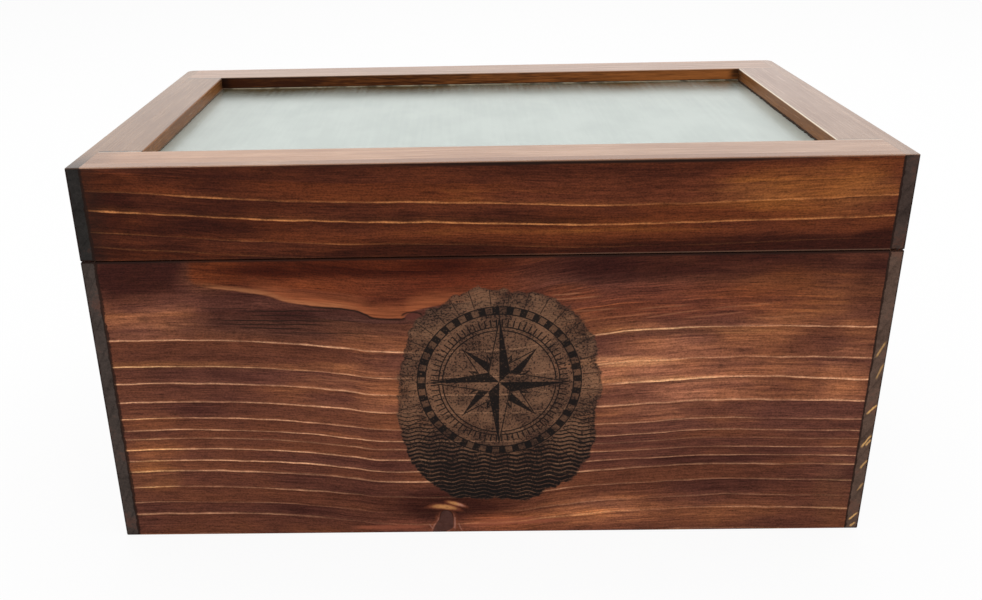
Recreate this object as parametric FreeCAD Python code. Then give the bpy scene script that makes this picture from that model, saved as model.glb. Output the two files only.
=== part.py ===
"""Wooden storage box with a hinged lid of frosted glass.

The body is four boards round a plywood bottom. The side boards run the full depth, so their end grain
shows on the front. The lid is four shallower boards round a flat frame of rails, with a pane of glass
bedded under the rails and held up by beads. Two brass butt hinges on the back join lid and body.

Millimetres, +Z up, front towards -Y. The origin is the middle of the underside.
"""

import FreeCAD, Part
import os

from FreeCAD import Placement, Rotation, Vector

# Overall sizes of the woodwork, without the hinges
WIDTH = 400.0
DEPTH = 250.0
BODY_HEIGHT = 160.6
LID_HEIGHT = 47.0
SEAM_GAP = 0.4

# Boards and their edges
BODY_BOARD = 7.0
LID_BOARD = 7.0
ARRIS = 0.6
BACK_CORNER_RADIUS = 5.0

# Bottom panel, let into a rebate round the foot of the boards
PANEL_THICKNESS = 4.0
PANEL_REBATE = 3.5
PANEL_CLEARANCE = 0.3

# Lid frame and glazing
RAIL_WIDTH = 22.0
RAIL_THICKNESS = 7.0
SEALANT_THICKNESS = 0.6
SEALANT_WIDTH = 8.5
SEALANT_SETBACK = 0.5
GLASS_THICKNESS = 3.0
GLASS_CLEARANCE = 1.5
GLASS_SEAMING = 0.3
BEAD_WIDTH = 10.0
BEAD_HEIGHT = 10.0
BEAD_CHAMFER = 3.0

# Butt hinges, laid flat on the back of the boards
HINGE_INSET = 75.0
HINGE_LENGTH = 38.0
LEAF_HEIGHT = 13.0
LEAF_THICKNESS = 1.2
LEAF_CORNER_RADIUS = 1.5
KNUCKLE_COUNT = 3
KNUCKLE_RADIUS = 2.2
KNUCKLE_GAP = 0.25
KNUCKLE_CLEARANCE = 0.4
BARREL_STANDOFF = 0.2
HINGE_PIN_RADIUS = 1.0
HINGE_PIN_OVERHANG = 0.4
HINGE_PIN_RUNNING_FIT = 0.05
HINGE_PIN_TIGHT_FIT = 0.02

# Hinge screws, slotted and countersunk
SCREW_SPACING = 24.0
SCREW_FROM_LEAF_EDGE = 4.2
SCREW_LENGTH = 6.0
SCREW_SHANK_RADIUS = 1.1
SCREW_HEAD_RADIUS = 2.1
SCREW_HEAD_HEIGHT = 1.0
SCREW_TIP = 1.6
SCREW_SLOT_WIDTH = 0.5
SCREW_SLOT_DEPTH = 0.5

# Brads of flat wire with a T head, punched just below the surface
BRAD_WIDTH = 1.2
BRAD_THICKNESS = 1.0
BRAD_HEAD_WIDTH = 2.0
BRAD_HEAD_HEIGHT = 0.6
BRAD_TIP = 1.5
BRAD_SET = 0.6
CORNER_BRAD_LENGTH = 20.0
PANEL_BRAD_LENGTH = 15.0
BEAD_BRAD_LENGTH = 13.0
BODY_CORNER_BRAD_COUNT = 3
LID_CORNER_BRAD_COUNT = 2
PANEL_LONG_SIDE_BRAD_COUNT = 4
PANEL_SHORT_SIDE_BRAD_COUNT = 3
BEAD_LONG_SIDE_BRAD_COUNT = 4
BEAD_SHORT_SIDE_BRAD_COUNT = 3

# Room between a fastener and the hole that it fills
FASTENER_CLEARANCE = 0.02

# Places that follow from the sizes above
HALF_WIDTH = WIDTH / 2
HALF_DEPTH = DEPTH / 2
LID_BASE = BODY_HEIGHT + SEAM_GAP
LID_TOP = LID_BASE + LID_HEIGHT
RAIL_BASE = LID_TOP - RAIL_THICKNESS
GLASS_TOP = RAIL_BASE - SEALANT_THICKNESS
GLASS_BASE = GLASS_TOP - GLASS_THICKNESS
BEAD_BASE = GLASS_BASE - BEAD_HEIGHT
BODY_INNER_X = HALF_WIDTH - BODY_BOARD
BODY_INNER_Y = HALF_DEPTH - BODY_BOARD
LID_INNER_X = HALF_WIDTH - LID_BOARD
LID_INNER_Y = HALF_DEPTH - LID_BOARD
OPENING_X = LID_INNER_X - RAIL_WIDTH
OPENING_Y = LID_INNER_Y - RAIL_WIDTH
BEAD_MOUTH_X = LID_INNER_X - BEAD_WIDTH
BEAD_MOUTH_Y = LID_INNER_Y - BEAD_WIDTH
HINGE_MIDDLE_X = HALF_WIDTH - HINGE_INSET
HINGE_AXIS_OUT = KNUCKLE_RADIUS + BARREL_STANDOFF
HINGE_AXIS_Y = HALF_DEPTH + HINGE_AXIS_OUT
HINGE_AXIS_Z = BODY_HEIGHT + SEAM_GAP / 2
SCREW_HEIGHT = LEAF_HEIGHT - SCREW_FROM_LEAF_EDGE

# Directions, and the signs of the two ends of each axis
ALONG = Vector(1, 0, 0)
FORWARD = Vector(0, -1, 0)
UP = Vector(0, 0, 1)
DOWN = Vector(0, 0, -1)
LEFT, RIGHT = -1, 1
FRONT, BACK = -1, 1
BODY_SIDE, LID_SIDE = -1, 1

# Lengths smaller than this count as nothing when edges are picked out
TINY = 1e-6


def block(x_span, y_span, z_span):
    """A box between two limits along each axis."""
    low = Vector(min(x_span), min(y_span), min(z_span))
    high = Vector(max(x_span), max(y_span), max(z_span))
    size = high - low
    return Part.makeBox(size.x, size.y, size.z, low)


def both_ways(half):
    """The span from -half to half."""
    return (-half, half)


def spread(count, half):
    """The middles of equal stretches of the span from -half to half."""
    return [half * ((2 * i + 1) / count - 1) for i in range(count)]


def rectangle(half_x, half_y, z):
    """A closed rectangular wire about the Z axis."""
    corners = [
        Vector(-half_x, -half_y, z),
        Vector(half_x, -half_y, z),
        Vector(half_x, half_y, z),
        Vector(-half_x, half_y, z),
    ]
    return Part.makePolygon(corners + corners[:1])


def upright_edges(shape, end):
    """The vertical edges at the front or at the back."""
    return [e for e in shape.Edges if e.BoundBox.ZLength > TINY and e.CenterOfMass.y * end > 0]


def eased_envelope(z_span):
    """The outside of the body or the lid, with its back corners rounded and its other edges eased."""
    shape = block(both_ways(HALF_WIDTH), both_ways(HALF_DEPTH), z_span)
    shape = shape.makeFillet(BACK_CORNER_RADIUS, upright_edges(shape, BACK))
    shape = shape.makeFillet(ARRIS, upright_edges(shape, FRONT))
    rims = [e for e in shape.Edges if e.BoundBox.ZLength < TINY]
    return shape.makeFillet(ARRIS, rims)


def turned(profile):
    """A solid of revolution about Z from (radius, height) points that start and end on the axis."""
    points = [Vector(r, 0, z) for r, z in profile]
    outline = Part.makePolygon(points + points[:1])
    return Part.Face(outline).revolve(Vector(0, 0, 0), UP, 360)


def brad_profile(length, top, room):
    """Outline, across its width, of a brad that points down, with room all round it."""
    under_head = -BRAD_SET - BRAD_HEAD_HEIGHT - room
    foot = -BRAD_SET - length - room
    half_outline = [
        (BRAD_HEAD_WIDTH / 2 + room, top),
        (BRAD_HEAD_WIDTH / 2 + room, under_head),
        (BRAD_WIDTH / 2 + room, under_head),
        (BRAD_WIDTH / 2 + room, foot + BRAD_TIP),
    ]
    other_half = [(-x, z) for x, z in reversed(half_outline)]
    return half_outline + [(0, foot)] + other_half


def flat_wire(profile, thickness):
    """A flat piece from (x, z) points, with its thickness centred on the XZ plane."""
    points = [Vector(x, -thickness / 2, z) for x, z in profile]
    return Part.Face(Part.makePolygon(points + points[:1])).extrude(Vector(0, thickness, 0))


def brad(length):
    """A brad below the origin, punched to its depth."""
    return flat_wire(brad_profile(length, -BRAD_SET, 0), BRAD_THICKNESS)


def brad_hole(length):
    """The hole that a brad leaves, open at the surface."""
    profile = brad_profile(length, BRAD_HEAD_HEIGHT, FASTENER_CLEARANCE)
    return flat_wire(profile, BRAD_THICKNESS + 2 * FASTENER_CLEARANCE)


def screw_profile(room):
    """Half section of a countersunk wood screw that points down from the origin, with room all round it."""
    foot = -SCREW_LENGTH - room
    return [
        (0, 0),
        (SCREW_HEAD_RADIUS + room, 0),
        (SCREW_SHANK_RADIUS + room, -SCREW_HEAD_HEIGHT),
        (SCREW_SHANK_RADIUS + room, foot + SCREW_TIP),
        (0, foot),
    ]


def hinge_screw():
    """A slotted hinge screw."""
    slot = block(
        both_ways(2 * SCREW_HEAD_RADIUS),
        both_ways(SCREW_SLOT_WIDTH / 2),
        both_ways(SCREW_SLOT_DEPTH),
    )
    return turned(screw_profile(0)).cut(slot)


def hinge_screw_hole():
    """The countersink and pilot hole for a hinge screw."""
    return turned(screw_profile(FASTENER_CLEARANCE))


def driven(shape, places):
    """Copies of a fastener or of its hole, with the head at each point and the tip along each direction."""
    copies = []
    for head, way in places:
        copy = shape.copy()
        copy.Placement = Placement(head, Rotation(DOWN, way))
        copies.append(copy)
    return copies


def bored(shape, holes):
    """A shape with the holes that reach it cut out."""
    for hole in holes:
        if hole.BoundBox.intersect(shape.BoundBox):
            shape = shape.cut(hole)
    return shape


def corner_brad_places(base, height, board, count):
    """Where the brads go through the side boards into the ends of the front and back boards."""
    middle = base + height / 2
    return [
        (Vector(side * HALF_WIDTH, end * (HALF_DEPTH - board / 2), middle + z), Vector(-side, 0, 0))
        for side in (LEFT, RIGHT)
        for end in (FRONT, BACK)
        for z in spread(count, height / 2)
    ]


def panel_brad_places():
    """Where the brads go up through the bottom panel into the boards."""
    long_rows = [
        (Vector(x, end * (BODY_INNER_Y + PANEL_REBATE / 2), 0), UP)
        for end in (FRONT, BACK)
        for x in spread(PANEL_LONG_SIDE_BRAD_COUNT, BODY_INNER_X)
    ]
    short_rows = [
        (Vector(side * (BODY_INNER_X + PANEL_REBATE / 2), y, 0), UP)
        for side in (LEFT, RIGHT)
        for y in spread(PANEL_SHORT_SIDE_BRAD_COUNT, BODY_INNER_Y)
    ]
    return long_rows + short_rows


def bead_brad_places():
    """Where the brads go through the glazing beads into the lid boards."""
    z = BEAD_BASE + BEAD_HEIGHT / 2
    long_rows = [
        (Vector(x, end * BEAD_MOUTH_Y, z), Vector(0, end, 0))
        for end in (FRONT, BACK)
        for x in spread(BEAD_LONG_SIDE_BRAD_COUNT, BEAD_MOUTH_X)
    ]
    short_rows = [
        (Vector(side * BEAD_MOUTH_X, y, z), Vector(side, 0, 0))
        for side in (LEFT, RIGHT)
        for y in spread(BEAD_SHORT_SIDE_BRAD_COUNT, BEAD_MOUTH_Y)
    ]
    return long_rows + short_rows


def hinge_screw_places(leaf_side):
    """Where the screws go through the leaves on the body or on the lid."""
    y = HALF_DEPTH + LEAF_THICKNESS
    z = HINGE_AXIS_Z + leaf_side * SCREW_HEIGHT
    return [
        (Vector(hinge * HINGE_MIDDLE_X + x, y, z), FORWARD)
        for hinge in (LEFT, RIGHT)
        for x in both_ways(SCREW_SPACING / 2)
    ]


def body_boards(holes):
    """Front and back boards between full-depth side boards, all rebated for the bottom panel."""
    z_span = (0, BODY_HEIGHT)
    envelope = eased_envelope(z_span)
    panel_seat = block(
        both_ways(BODY_INNER_X + PANEL_REBATE),
        both_ways(BODY_INNER_Y + PANEL_REBATE),
        both_ways(PANEL_THICKNESS),
    )
    blanks = {
        "front_board": block(both_ways(BODY_INNER_X), (-HALF_DEPTH, -BODY_INNER_Y), z_span),
        "back_board": block(both_ways(BODY_INNER_X), (BODY_INNER_Y, HALF_DEPTH), z_span),
        "left_board": block((-HALF_WIDTH, -BODY_INNER_X), both_ways(HALF_DEPTH), z_span),
        "right_board": block((BODY_INNER_X, HALF_WIDTH), both_ways(HALF_DEPTH), z_span),
    }
    return {
        name: bored(blank.common(envelope).cut(panel_seat), holes)
        for name, blank in blanks.items()
    }


def bottom_panel(holes):
    """Plywood panel, flush with the foot of the boards."""
    panel = block(
        both_ways(BODY_INNER_X + PANEL_REBATE - PANEL_CLEARANCE),
        both_ways(BODY_INNER_Y + PANEL_REBATE - PANEL_CLEARANCE),
        (0, PANEL_THICKNESS),
    )
    return bored(panel, holes)


def lid_boards(holes):
    """Front and back lid boards between full-depth side boards."""
    z_span = (LID_BASE, LID_TOP)
    envelope = eased_envelope(z_span)
    blanks = {
        "lid_front_board": block(both_ways(LID_INNER_X), (-HALF_DEPTH, -LID_INNER_Y), z_span),
        "lid_back_board": block(both_ways(LID_INNER_X), (LID_INNER_Y, HALF_DEPTH), z_span),
        "lid_left_board": block((-HALF_WIDTH, -LID_INNER_X), both_ways(HALF_DEPTH), z_span),
        "lid_right_board": block((LID_INNER_X, HALF_WIDTH), both_ways(HALF_DEPTH), z_span),
    }
    return {name: bored(blank.common(envelope), holes) for name, blank in blanks.items()}


def lid_rails():
    """Flat frame inside the lid boards: front and back rails right across, side rails between them."""
    z_span = (RAIL_BASE, LID_TOP)
    eased_mouth = Part.makeLoft([
        rectangle(OPENING_X, OPENING_Y, LID_TOP - ARRIS),
        rectangle(OPENING_X + 2 * ARRIS, OPENING_Y + 2 * ARRIS, LID_TOP + ARRIS),
    ], True)
    blanks = {
        "lid_front_rail": block(both_ways(LID_INNER_X), (-LID_INNER_Y, -OPENING_Y), z_span),
        "lid_back_rail": block(both_ways(LID_INNER_X), (OPENING_Y, LID_INNER_Y), z_span),
        "lid_left_rail": block((-LID_INNER_X, -OPENING_X), both_ways(OPENING_Y), z_span),
        "lid_right_rail": block((OPENING_X, LID_INNER_X), both_ways(OPENING_Y), z_span),
    }
    return {name: blank.cut(eased_mouth) for name, blank in blanks.items()}


def glass_pane():
    """Pane under the rails, with its edges seamed."""
    pane = block(
        both_ways(LID_INNER_X - GLASS_CLEARANCE),
        both_ways(LID_INNER_Y - GLASS_CLEARANCE),
        (GLASS_BASE, GLASS_TOP),
    )
    return pane.makeChamfer(GLASS_SEAMING, pane.Edges)


def glass_sealant():
    """Bed of sealant between the rails and the glass, set back from the opening."""
    inner_x = OPENING_X + SEALANT_SETBACK
    inner_y = OPENING_Y + SEALANT_SETBACK
    z_span = (GLASS_TOP, RAIL_BASE)
    outside = block(both_ways(inner_x + SEALANT_WIDTH), both_ways(inner_y + SEALANT_WIDTH), z_span)
    return outside.cut(block(both_ways(inner_x), both_ways(inner_y), z_span))


def glazing_beads(holes):
    """Strips that hold the glass up against the rails, chamfered on the corner that shows."""
    z_span = (BEAD_BASE, GLASS_BASE)
    flare = 2 * BEAD_CHAMFER
    chamfered_mouth = Part.makeLoft([
        rectangle(BEAD_MOUTH_X + flare, BEAD_MOUTH_Y + flare, BEAD_BASE - BEAD_CHAMFER),
        rectangle(BEAD_MOUTH_X, BEAD_MOUTH_Y, BEAD_BASE + BEAD_CHAMFER),
    ], True)
    blanks = {
        "front_glazing_bead": block(both_ways(LID_INNER_X), (-LID_INNER_Y, -BEAD_MOUTH_Y), z_span),
        "back_glazing_bead": block(both_ways(LID_INNER_X), (BEAD_MOUTH_Y, LID_INNER_Y), z_span),
        "left_glazing_bead": block((-LID_INNER_X, -BEAD_MOUTH_X), both_ways(BEAD_MOUTH_Y), z_span),
        "right_glazing_bead": block((BEAD_MOUTH_X, LID_INNER_X), both_ways(BEAD_MOUTH_Y), z_span),
    }
    return {name: bored(blank.cut(chamfered_mouth), holes) for name, blank in blanks.items()}


def knuckle_spans(leaf_side):
    """The stretches of the barrel that belong to the body's leaf or, between them, to the lid's."""
    pitch = HINGE_LENGTH / KNUCKLE_COUNT
    first = 0 if leaf_side == BODY_SIDE else 1
    starts = [i * pitch - HINGE_LENGTH / 2 for i in range(first, KNUCKLE_COUNT, 2)]
    return [(start + KNUCKLE_GAP / 2, start + pitch - KNUCKLE_GAP / 2) for start in starts]


def hinge_leaf(leaf_side, pin_fit):
    """One leaf with its knuckles, about a hinge axis along X through the origin."""
    wood = -HINGE_AXIS_OUT
    face = wood + LEAF_THICKNESS
    plate_start = leaf_side * (KNUCKLE_RADIUS + KNUCKLE_CLEARANCE)
    plate_end = leaf_side * LEAF_HEIGHT
    leaf = block(both_ways(HINGE_LENGTH / 2), (wood, face), (plate_start, plate_end))
    corners = [
        e for e in leaf.Edges
        if e.BoundBox.YLength > TINY and abs(e.CenterOfMass.z - plate_end) < TINY
    ]
    leaf = leaf.makeFillet(LEAF_CORNER_RADIUS, corners)
    neck_profile = [
        (wood, plate_start),
        (face, plate_start),
        (LEAF_THICKNESS - KNUCKLE_RADIUS, 0),
        (-KNUCKLE_RADIUS, 0),
    ]
    for start, end in knuckle_spans(leaf_side):
        points = [Vector(start, y, z) for y, z in neck_profile]
        neck = Part.Face(Part.makePolygon(points + points[:1])).extrude(ALONG * (end - start))
        barrel = Part.makeCylinder(KNUCKLE_RADIUS, end - start, ALONG * start, ALONG)
        leaf = leaf.fuse([neck, barrel])
    bore = Part.makeCylinder(HINGE_PIN_RADIUS + pin_fit, 2 * HINGE_LENGTH, ALONG * -HINGE_LENGTH, ALONG)
    return leaf.cut(bore).removeSplitter()


def hinge_pin():
    """Pin through the barrel, with bevelled ends that stand out of it."""
    half = HINGE_LENGTH / 2 + HINGE_PIN_OVERHANG
    pin = Part.makeCylinder(HINGE_PIN_RADIUS, 2 * half, ALONG * -half, ALONG)
    rims = [e for e in pin.Edges if e.BoundBox.XLength < TINY]
    return pin.makeChamfer(HINGE_PIN_OVERHANG, rims)


def hinges(body_holes, lid_holes):
    """Both hinges on the back: a leaf on the body, a leaf on the lid and a pin for each."""
    pieces = {}
    for name, side in (("left", LEFT), ("right", RIGHT)):
        at = Vector(side * HINGE_MIDDLE_X, HINGE_AXIS_Y, HINGE_AXIS_Z)
        body_leaf = hinge_leaf(BODY_SIDE, HINGE_PIN_TIGHT_FIT).translated(at)
        lid_leaf = hinge_leaf(LID_SIDE, HINGE_PIN_RUNNING_FIT).translated(at)
        pieces[name + "_hinge_body_leaf"] = bored(body_leaf, body_holes)
        pieces[name + "_hinge_lid_leaf"] = bored(lid_leaf, lid_holes)
        pieces[name + "_hinge_pin"] = hinge_pin().translated(at)
    return pieces


def build():
    """Every piece of the box by its name."""
    brad_rows = {
        "body_corner_brads": (
            CORNER_BRAD_LENGTH, corner_brad_places(0, BODY_HEIGHT, BODY_BOARD, BODY_CORNER_BRAD_COUNT)
        ),
        "lid_corner_brads": (
            CORNER_BRAD_LENGTH, corner_brad_places(LID_BASE, LID_HEIGHT, LID_BOARD, LID_CORNER_BRAD_COUNT)
        ),
        "bottom_panel_brads": (PANEL_BRAD_LENGTH, panel_brad_places()),
        "glazing_bead_brads": (BEAD_BRAD_LENGTH, bead_brad_places()),
    }
    brad_holes = {
        name: driven(brad_hole(length), places)
        for name, (length, places) in brad_rows.items()
    }
    body_screws = hinge_screw_places(BODY_SIDE)
    lid_screws = hinge_screw_places(LID_SIDE)
    body_screw_holes = driven(hinge_screw_hole(), body_screws)
    lid_screw_holes = driven(hinge_screw_hole(), lid_screws)

    pieces = {}
    pieces.update(body_boards(
        brad_holes["body_corner_brads"] + brad_holes["bottom_panel_brads"] + body_screw_holes
    ))
    pieces["bottom_panel"] = bottom_panel(brad_holes["bottom_panel_brads"])
    pieces.update(lid_boards(
        brad_holes["lid_corner_brads"] + brad_holes["glazing_bead_brads"] + lid_screw_holes
    ))
    pieces.update(lid_rails())
    pieces["glass_pane"] = glass_pane()
    pieces["glass_sealant"] = glass_sealant()
    pieces.update(glazing_beads(brad_holes["glazing_bead_brads"]))
    pieces.update(hinges(body_screw_holes, lid_screw_holes))
    for name, (length, places) in brad_rows.items():
        pieces[name] = Part.makeCompound(driven(brad(length), places))
    pieces["hinge_body_screws"] = Part.makeCompound(driven(hinge_screw(), body_screws))
    pieces["hinge_lid_screws"] = Part.makeCompound(driven(hinge_screw(), lid_screws))
    return pieces


os.makedirs("parts", exist_ok=True)
for piece_name, shape in build().items():
    shape.exportStep(os.path.join("parts", piece_name + ".step"))
    print(piece_name, len(shape.Solids), "solids, valid:", shape.isValid())
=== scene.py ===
"""Looks of the glass-lid wooden box: burnt pine boards, a stained frame, frosted glass and brass hinges."""

import math
import random

import bmesh
import bpy
from mathutils import Matrix, Vector


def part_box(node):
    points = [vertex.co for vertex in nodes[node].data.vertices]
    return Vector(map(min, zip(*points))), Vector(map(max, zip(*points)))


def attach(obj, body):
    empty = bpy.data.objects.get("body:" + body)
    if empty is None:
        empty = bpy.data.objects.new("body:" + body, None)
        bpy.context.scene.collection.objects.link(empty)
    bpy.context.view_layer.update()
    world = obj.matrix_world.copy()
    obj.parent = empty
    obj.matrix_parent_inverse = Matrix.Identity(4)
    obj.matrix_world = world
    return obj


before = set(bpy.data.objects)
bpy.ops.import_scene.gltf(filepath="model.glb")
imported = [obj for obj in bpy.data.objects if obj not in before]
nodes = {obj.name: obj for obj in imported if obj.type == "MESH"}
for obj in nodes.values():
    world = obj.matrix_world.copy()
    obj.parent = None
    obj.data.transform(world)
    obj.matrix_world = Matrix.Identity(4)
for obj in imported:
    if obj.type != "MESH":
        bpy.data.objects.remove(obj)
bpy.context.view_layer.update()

# Sizes in metres, unless a heading says mm

MM = 0.001
BODY_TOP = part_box("front_board")[1].z
LID_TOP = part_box("lid_front_rail")[1].z
OPENING_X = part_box("lid_right_rail")[0].x
OPENING_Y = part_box("lid_back_rail")[0].y
GLASS_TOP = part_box("glass_pane")[1].z
BOARD_INNER_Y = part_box("front_board")[1].y


# Colours

def tone(red, green, blue):
    """A colour on the usual 0 to 255 scale, as the shader wants it."""
    shares = [part / 255 for part in (red, green, blue)]
    curved = [s / 12.92 if s <= 0.04045 else ((s + 0.055) / 1.055) ** 2.4 for s in shares]
    return (*curved, 1.0)


BODY_STAIN = {
    "Deep": tone(60, 27, 20), "Mid": tone(106, 61, 46), "Warm": tone(184, 116, 80),
    "Bright": tone(240, 182, 128), "Brushed": tone(238, 174, 132),
}
LID_STAIN = {
    "Deep": tone(56, 23, 14), "Mid": tone(100, 49, 28), "Warm": tone(160, 96, 48),
    "Bright": tone(214, 142, 78), "Brushed": tone(216, 140, 84),
}
COOL_BURN = (0.95, 0.97, 1.10, 1.0)
GOLDEN_BURN = (1.06, 1.02, 0.88, 1.0)
PLAIN_STAIN = {"Plain Dark": tone(150, 110, 86), "Plain Light": tone(200, 162, 136)}
RAIL_SIDE = (tone(126, 80, 46), tone(174, 118, 72))
RAIL_BACK = (tone(66, 34, 19), tone(186, 114, 60))
CHARRED = tone(38, 24, 19)
SCRATCH = tone(222, 172, 110)
FLAME = tone(178, 100, 62)
FLAME_RIM = tone(200, 132, 88)
PALE_ARRIS_LINE = tone(250, 236, 216)
FOOT_HIGHLIGHT = tone(176, 136, 112)
SMALL_KNOT_RED = tone(98, 52, 44)
KNOT_CORE = tone(86, 57, 51)
KNOT_RIM = tone(176, 122, 104)
KNOT_GLOW = tone(212, 148, 92)
KNOT_BLUSH = tone(150, 82, 56)
FOOT_STREAK = tone(170, 96, 70)
KNOT_PINK = tone(206, 146, 124)
PALE_STREAK = tone(178, 116, 82)
PRINT_GROUND = tone(134, 100, 76)
PRINT_SHADE = tone(70, 54, 44)
PRINT_INK = tone(21, 19, 19)
GLASS_DULL = tone(198, 209, 202)
GLASS_PALE = tone(209, 219, 212)
GLASS_PAINTED_SHADE = tone(84, 72, 46)
SEALANT_DARK = tone(50, 33, 21)
SEALANT_CLEAN = tone(128, 104, 84)
DRIED_GLUE = tone(222, 208, 178)
BEAD_WOOD = (tone(120, 78, 48), tone(172, 124, 82))
PLYWOOD = (tone(178, 138, 94), tone(214, 178, 132))
FLOOR_TONES = ((0.93, 0.93, 0.93, 1.0), (0.95, 0.95, 0.95, 1.0))
WHITE = (1.0, 1.0, 1.0, 1.0)


# Node trees

class Recipe:
    """A node tree being put together. Most methods add nodes and give back an output."""

    def __init__(self, tree):
        self.tree = tree

    def node(self, kind, **settings):
        made = self.tree.nodes.new(kind)
        for name, value in settings.items():
            setattr(made, name, value)
        return made

    def feed(self, socket, value):
        if isinstance(value, bpy.types.NodeSocket):
            self.tree.links.new(value, socket)
        else:
            socket.default_value = value

    def fill(self, node, given):
        """Feeds the named inputs of a node. Spaces in their names may be written _."""
        for name, value in given.items():
            self.feed(node.inputs[name.replace("_", " ")], value)

    def calc(self, operation, *values):
        made = self.node("ShaderNodeMath", operation=operation)
        for socket, value in zip(made.inputs, values):
            self.feed(socket, value)
        return made.outputs[0]

    def add(self, *values):
        total = values[0]
        for value in values[1:]:
            total = self.calc("ADD", total, value)
        return total

    def sub(self, a, b):
        return self.calc("SUBTRACT", a, b)

    def mul(self, *values):
        total = values[0]
        for value in values[1:]:
            total = self.calc("MULTIPLY", total, value)
        return total

    def div(self, a, b):
        return self.calc("DIVIDE", a, b)

    def most(self, a, b):
        return self.calc("MAXIMUM", a, b)

    def least(self, a, b):
        return self.calc("MINIMUM", a, b)

    def flip(self, value):
        return self.calc("SUBTRACT", 1.0, value)

    def rise(self, value, low, high, start=0.0, end=1.0):
        """Goes smoothly from start to end while value goes from low to high."""
        made = self.node("ShaderNodeMapRange", interpolation_type="SMOOTHSTEP")
        self.fill(made, {"Value": value, "From Min": low, "From Max": high, "To Min": start, "To Max": end})
        return made.outputs["Result"]

    def fall(self, value, low, high):
        return self.rise(value, low, high, 1.0, 0.0)

    def band(self, value, low, full, fade, high):
        """Rises from low to full, and falls again from fade to high."""
        return self.mul(self.rise(value, low, full), self.fall(value, fade, high))

    def in_mm(self, metres):
        return self.mul(metres, 1.0 / MM)

    def vector(self, x, y, z=0.0):
        made = self.node("ShaderNodeCombineXYZ")
        for socket, value in zip(made.inputs, (x, y, z)):
            self.feed(socket, value)
        return made.outputs[0]

    def split(self, vector):
        made = self.node("ShaderNodeSeparateXYZ")
        self.feed(made.inputs[0], vector)
        return made.outputs

    def vmath(self, operation, a, b):
        made = self.node("ShaderNodeVectorMath", operation=operation)
        self.feed(made.inputs[0], a)
        self.feed(made.inputs[1], b)
        return made.outputs[0]

    def place(self):
        """Where the surface is, in the box's own frame."""
        return self.node("ShaderNodeTexCoord").outputs["Object"]

    def noise(self, vector, scale=1.0, detail=2.0, roughness=0.5):
        made = self.node("ShaderNodeTexNoise")
        self.fill(made, {"Vector": vector, "Scale": scale, "Detail": detail, "Roughness": roughness})
        return made.outputs["Fac"]

    def grain(self, *runs, **look):
        """Noise stretched along its axes. Each run is a coordinate and how often it changes in a metre."""
        return self.noise(self.vector(*[self.mul(value, often) for value, often in runs]), **look)

    def swing(self, noise, *amounts):
        """Noise that swings about nought, times the amounts."""
        return self.mul(self.sub(noise, 0.5), *amounts)

    def blend(self, share, a, b, how="MIX"):
        made = self.node("ShaderNodeMix", data_type="RGBA", blend_type=how)
        for socket, value in ((made.inputs[0], share), (made.inputs[6], a), (made.inputs[7], b)):
            self.feed(socket, value)
        return made.outputs[2]

    def curve(self, value, points):
        """A line drawn through points, read at value. Points run from left to right."""
        left, right = points[0][0], points[-1][0]
        lowest = min(height for _, height in points)
        climb = max(height for _, height in points) - lowest
        across = self.calc("DIVIDE", self.sub(value, left), right - left)
        made = self.node("ShaderNodeFloatCurve")
        line = made.mapping.curves[0]
        for _ in points[1:-1]:
            line.points.new(0.5, 0.5)
        for mark, (px, py) in zip(line.points, points):
            mark.location = ((px - left) / (right - left), (py - lowest) / climb)
        made.mapping.update()
        self.feed(made.inputs["Value"], across)
        return self.calc("MULTIPLY_ADD", made.outputs[0], climb, lowest)

    def curve_in_mm(self, metres, points):
        """A line drawn in mm, read at a place in metres, as a length in metres."""
        return self.mul(self.curve(self.in_mm(metres), points), MM)

    def stairs(self, value, steps):
        """One number for each whole value, from 0 up."""
        made = self.node("ShaderNodeValToRGB")
        made.color_ramp.interpolation = "CONSTANT"
        marks = made.color_ramp.elements
        while len(marks) < len(steps):
            marks.new(1.0)
        for count, (mark, step) in enumerate(zip(marks, steps)):
            mark.position = count / len(steps)
            mark.color = (step, step, step, 1.0)
        self.feed(made.inputs[0], self.calc("DIVIDE", self.add(value, 0.5), float(len(steps))))
        return made.outputs[0]

    def shade(self, **given):
        """Sets inputs of the material's shader."""
        self.fill(self.shader, given)

    def use(self, group, **given):
        """Places a finished group and gives back its outputs."""
        made = self.node("ShaderNodeGroup", node_tree=group)
        self.fill(made, given)
        return made.outputs


SOCKET_KINDS = {"value": "NodeSocketFloat", "vector": "NodeSocketVector", "colour": "NodeSocketColor"}


def group_recipe(name, inputs, outputs):
    """An empty shader node group with named sockets, and the recipe to fill it."""
    tree = bpy.data.node_groups.new(name, "ShaderNodeTree")
    for label, kind in inputs.items():
        tree.interface.new_socket(label, in_out="INPUT", socket_type=SOCKET_KINDS[kind])
    for label, kind in outputs.items():
        tree.interface.new_socket(label, in_out="OUTPUT", socket_type=SOCKET_KINDS[kind])
    recipe = Recipe(tree)
    recipe.given = recipe.node("NodeGroupInput").outputs
    recipe.result = recipe.node("NodeGroupOutput").inputs
    return recipe


def values(*names):
    return {name: "value" for name in names}


# Shared effects

# How far before a whole ring number its bright line may start, in rings, and half the line's width
LINE_LEAD = 0.1
LINE_HALF = 0.38 * MM


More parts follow.
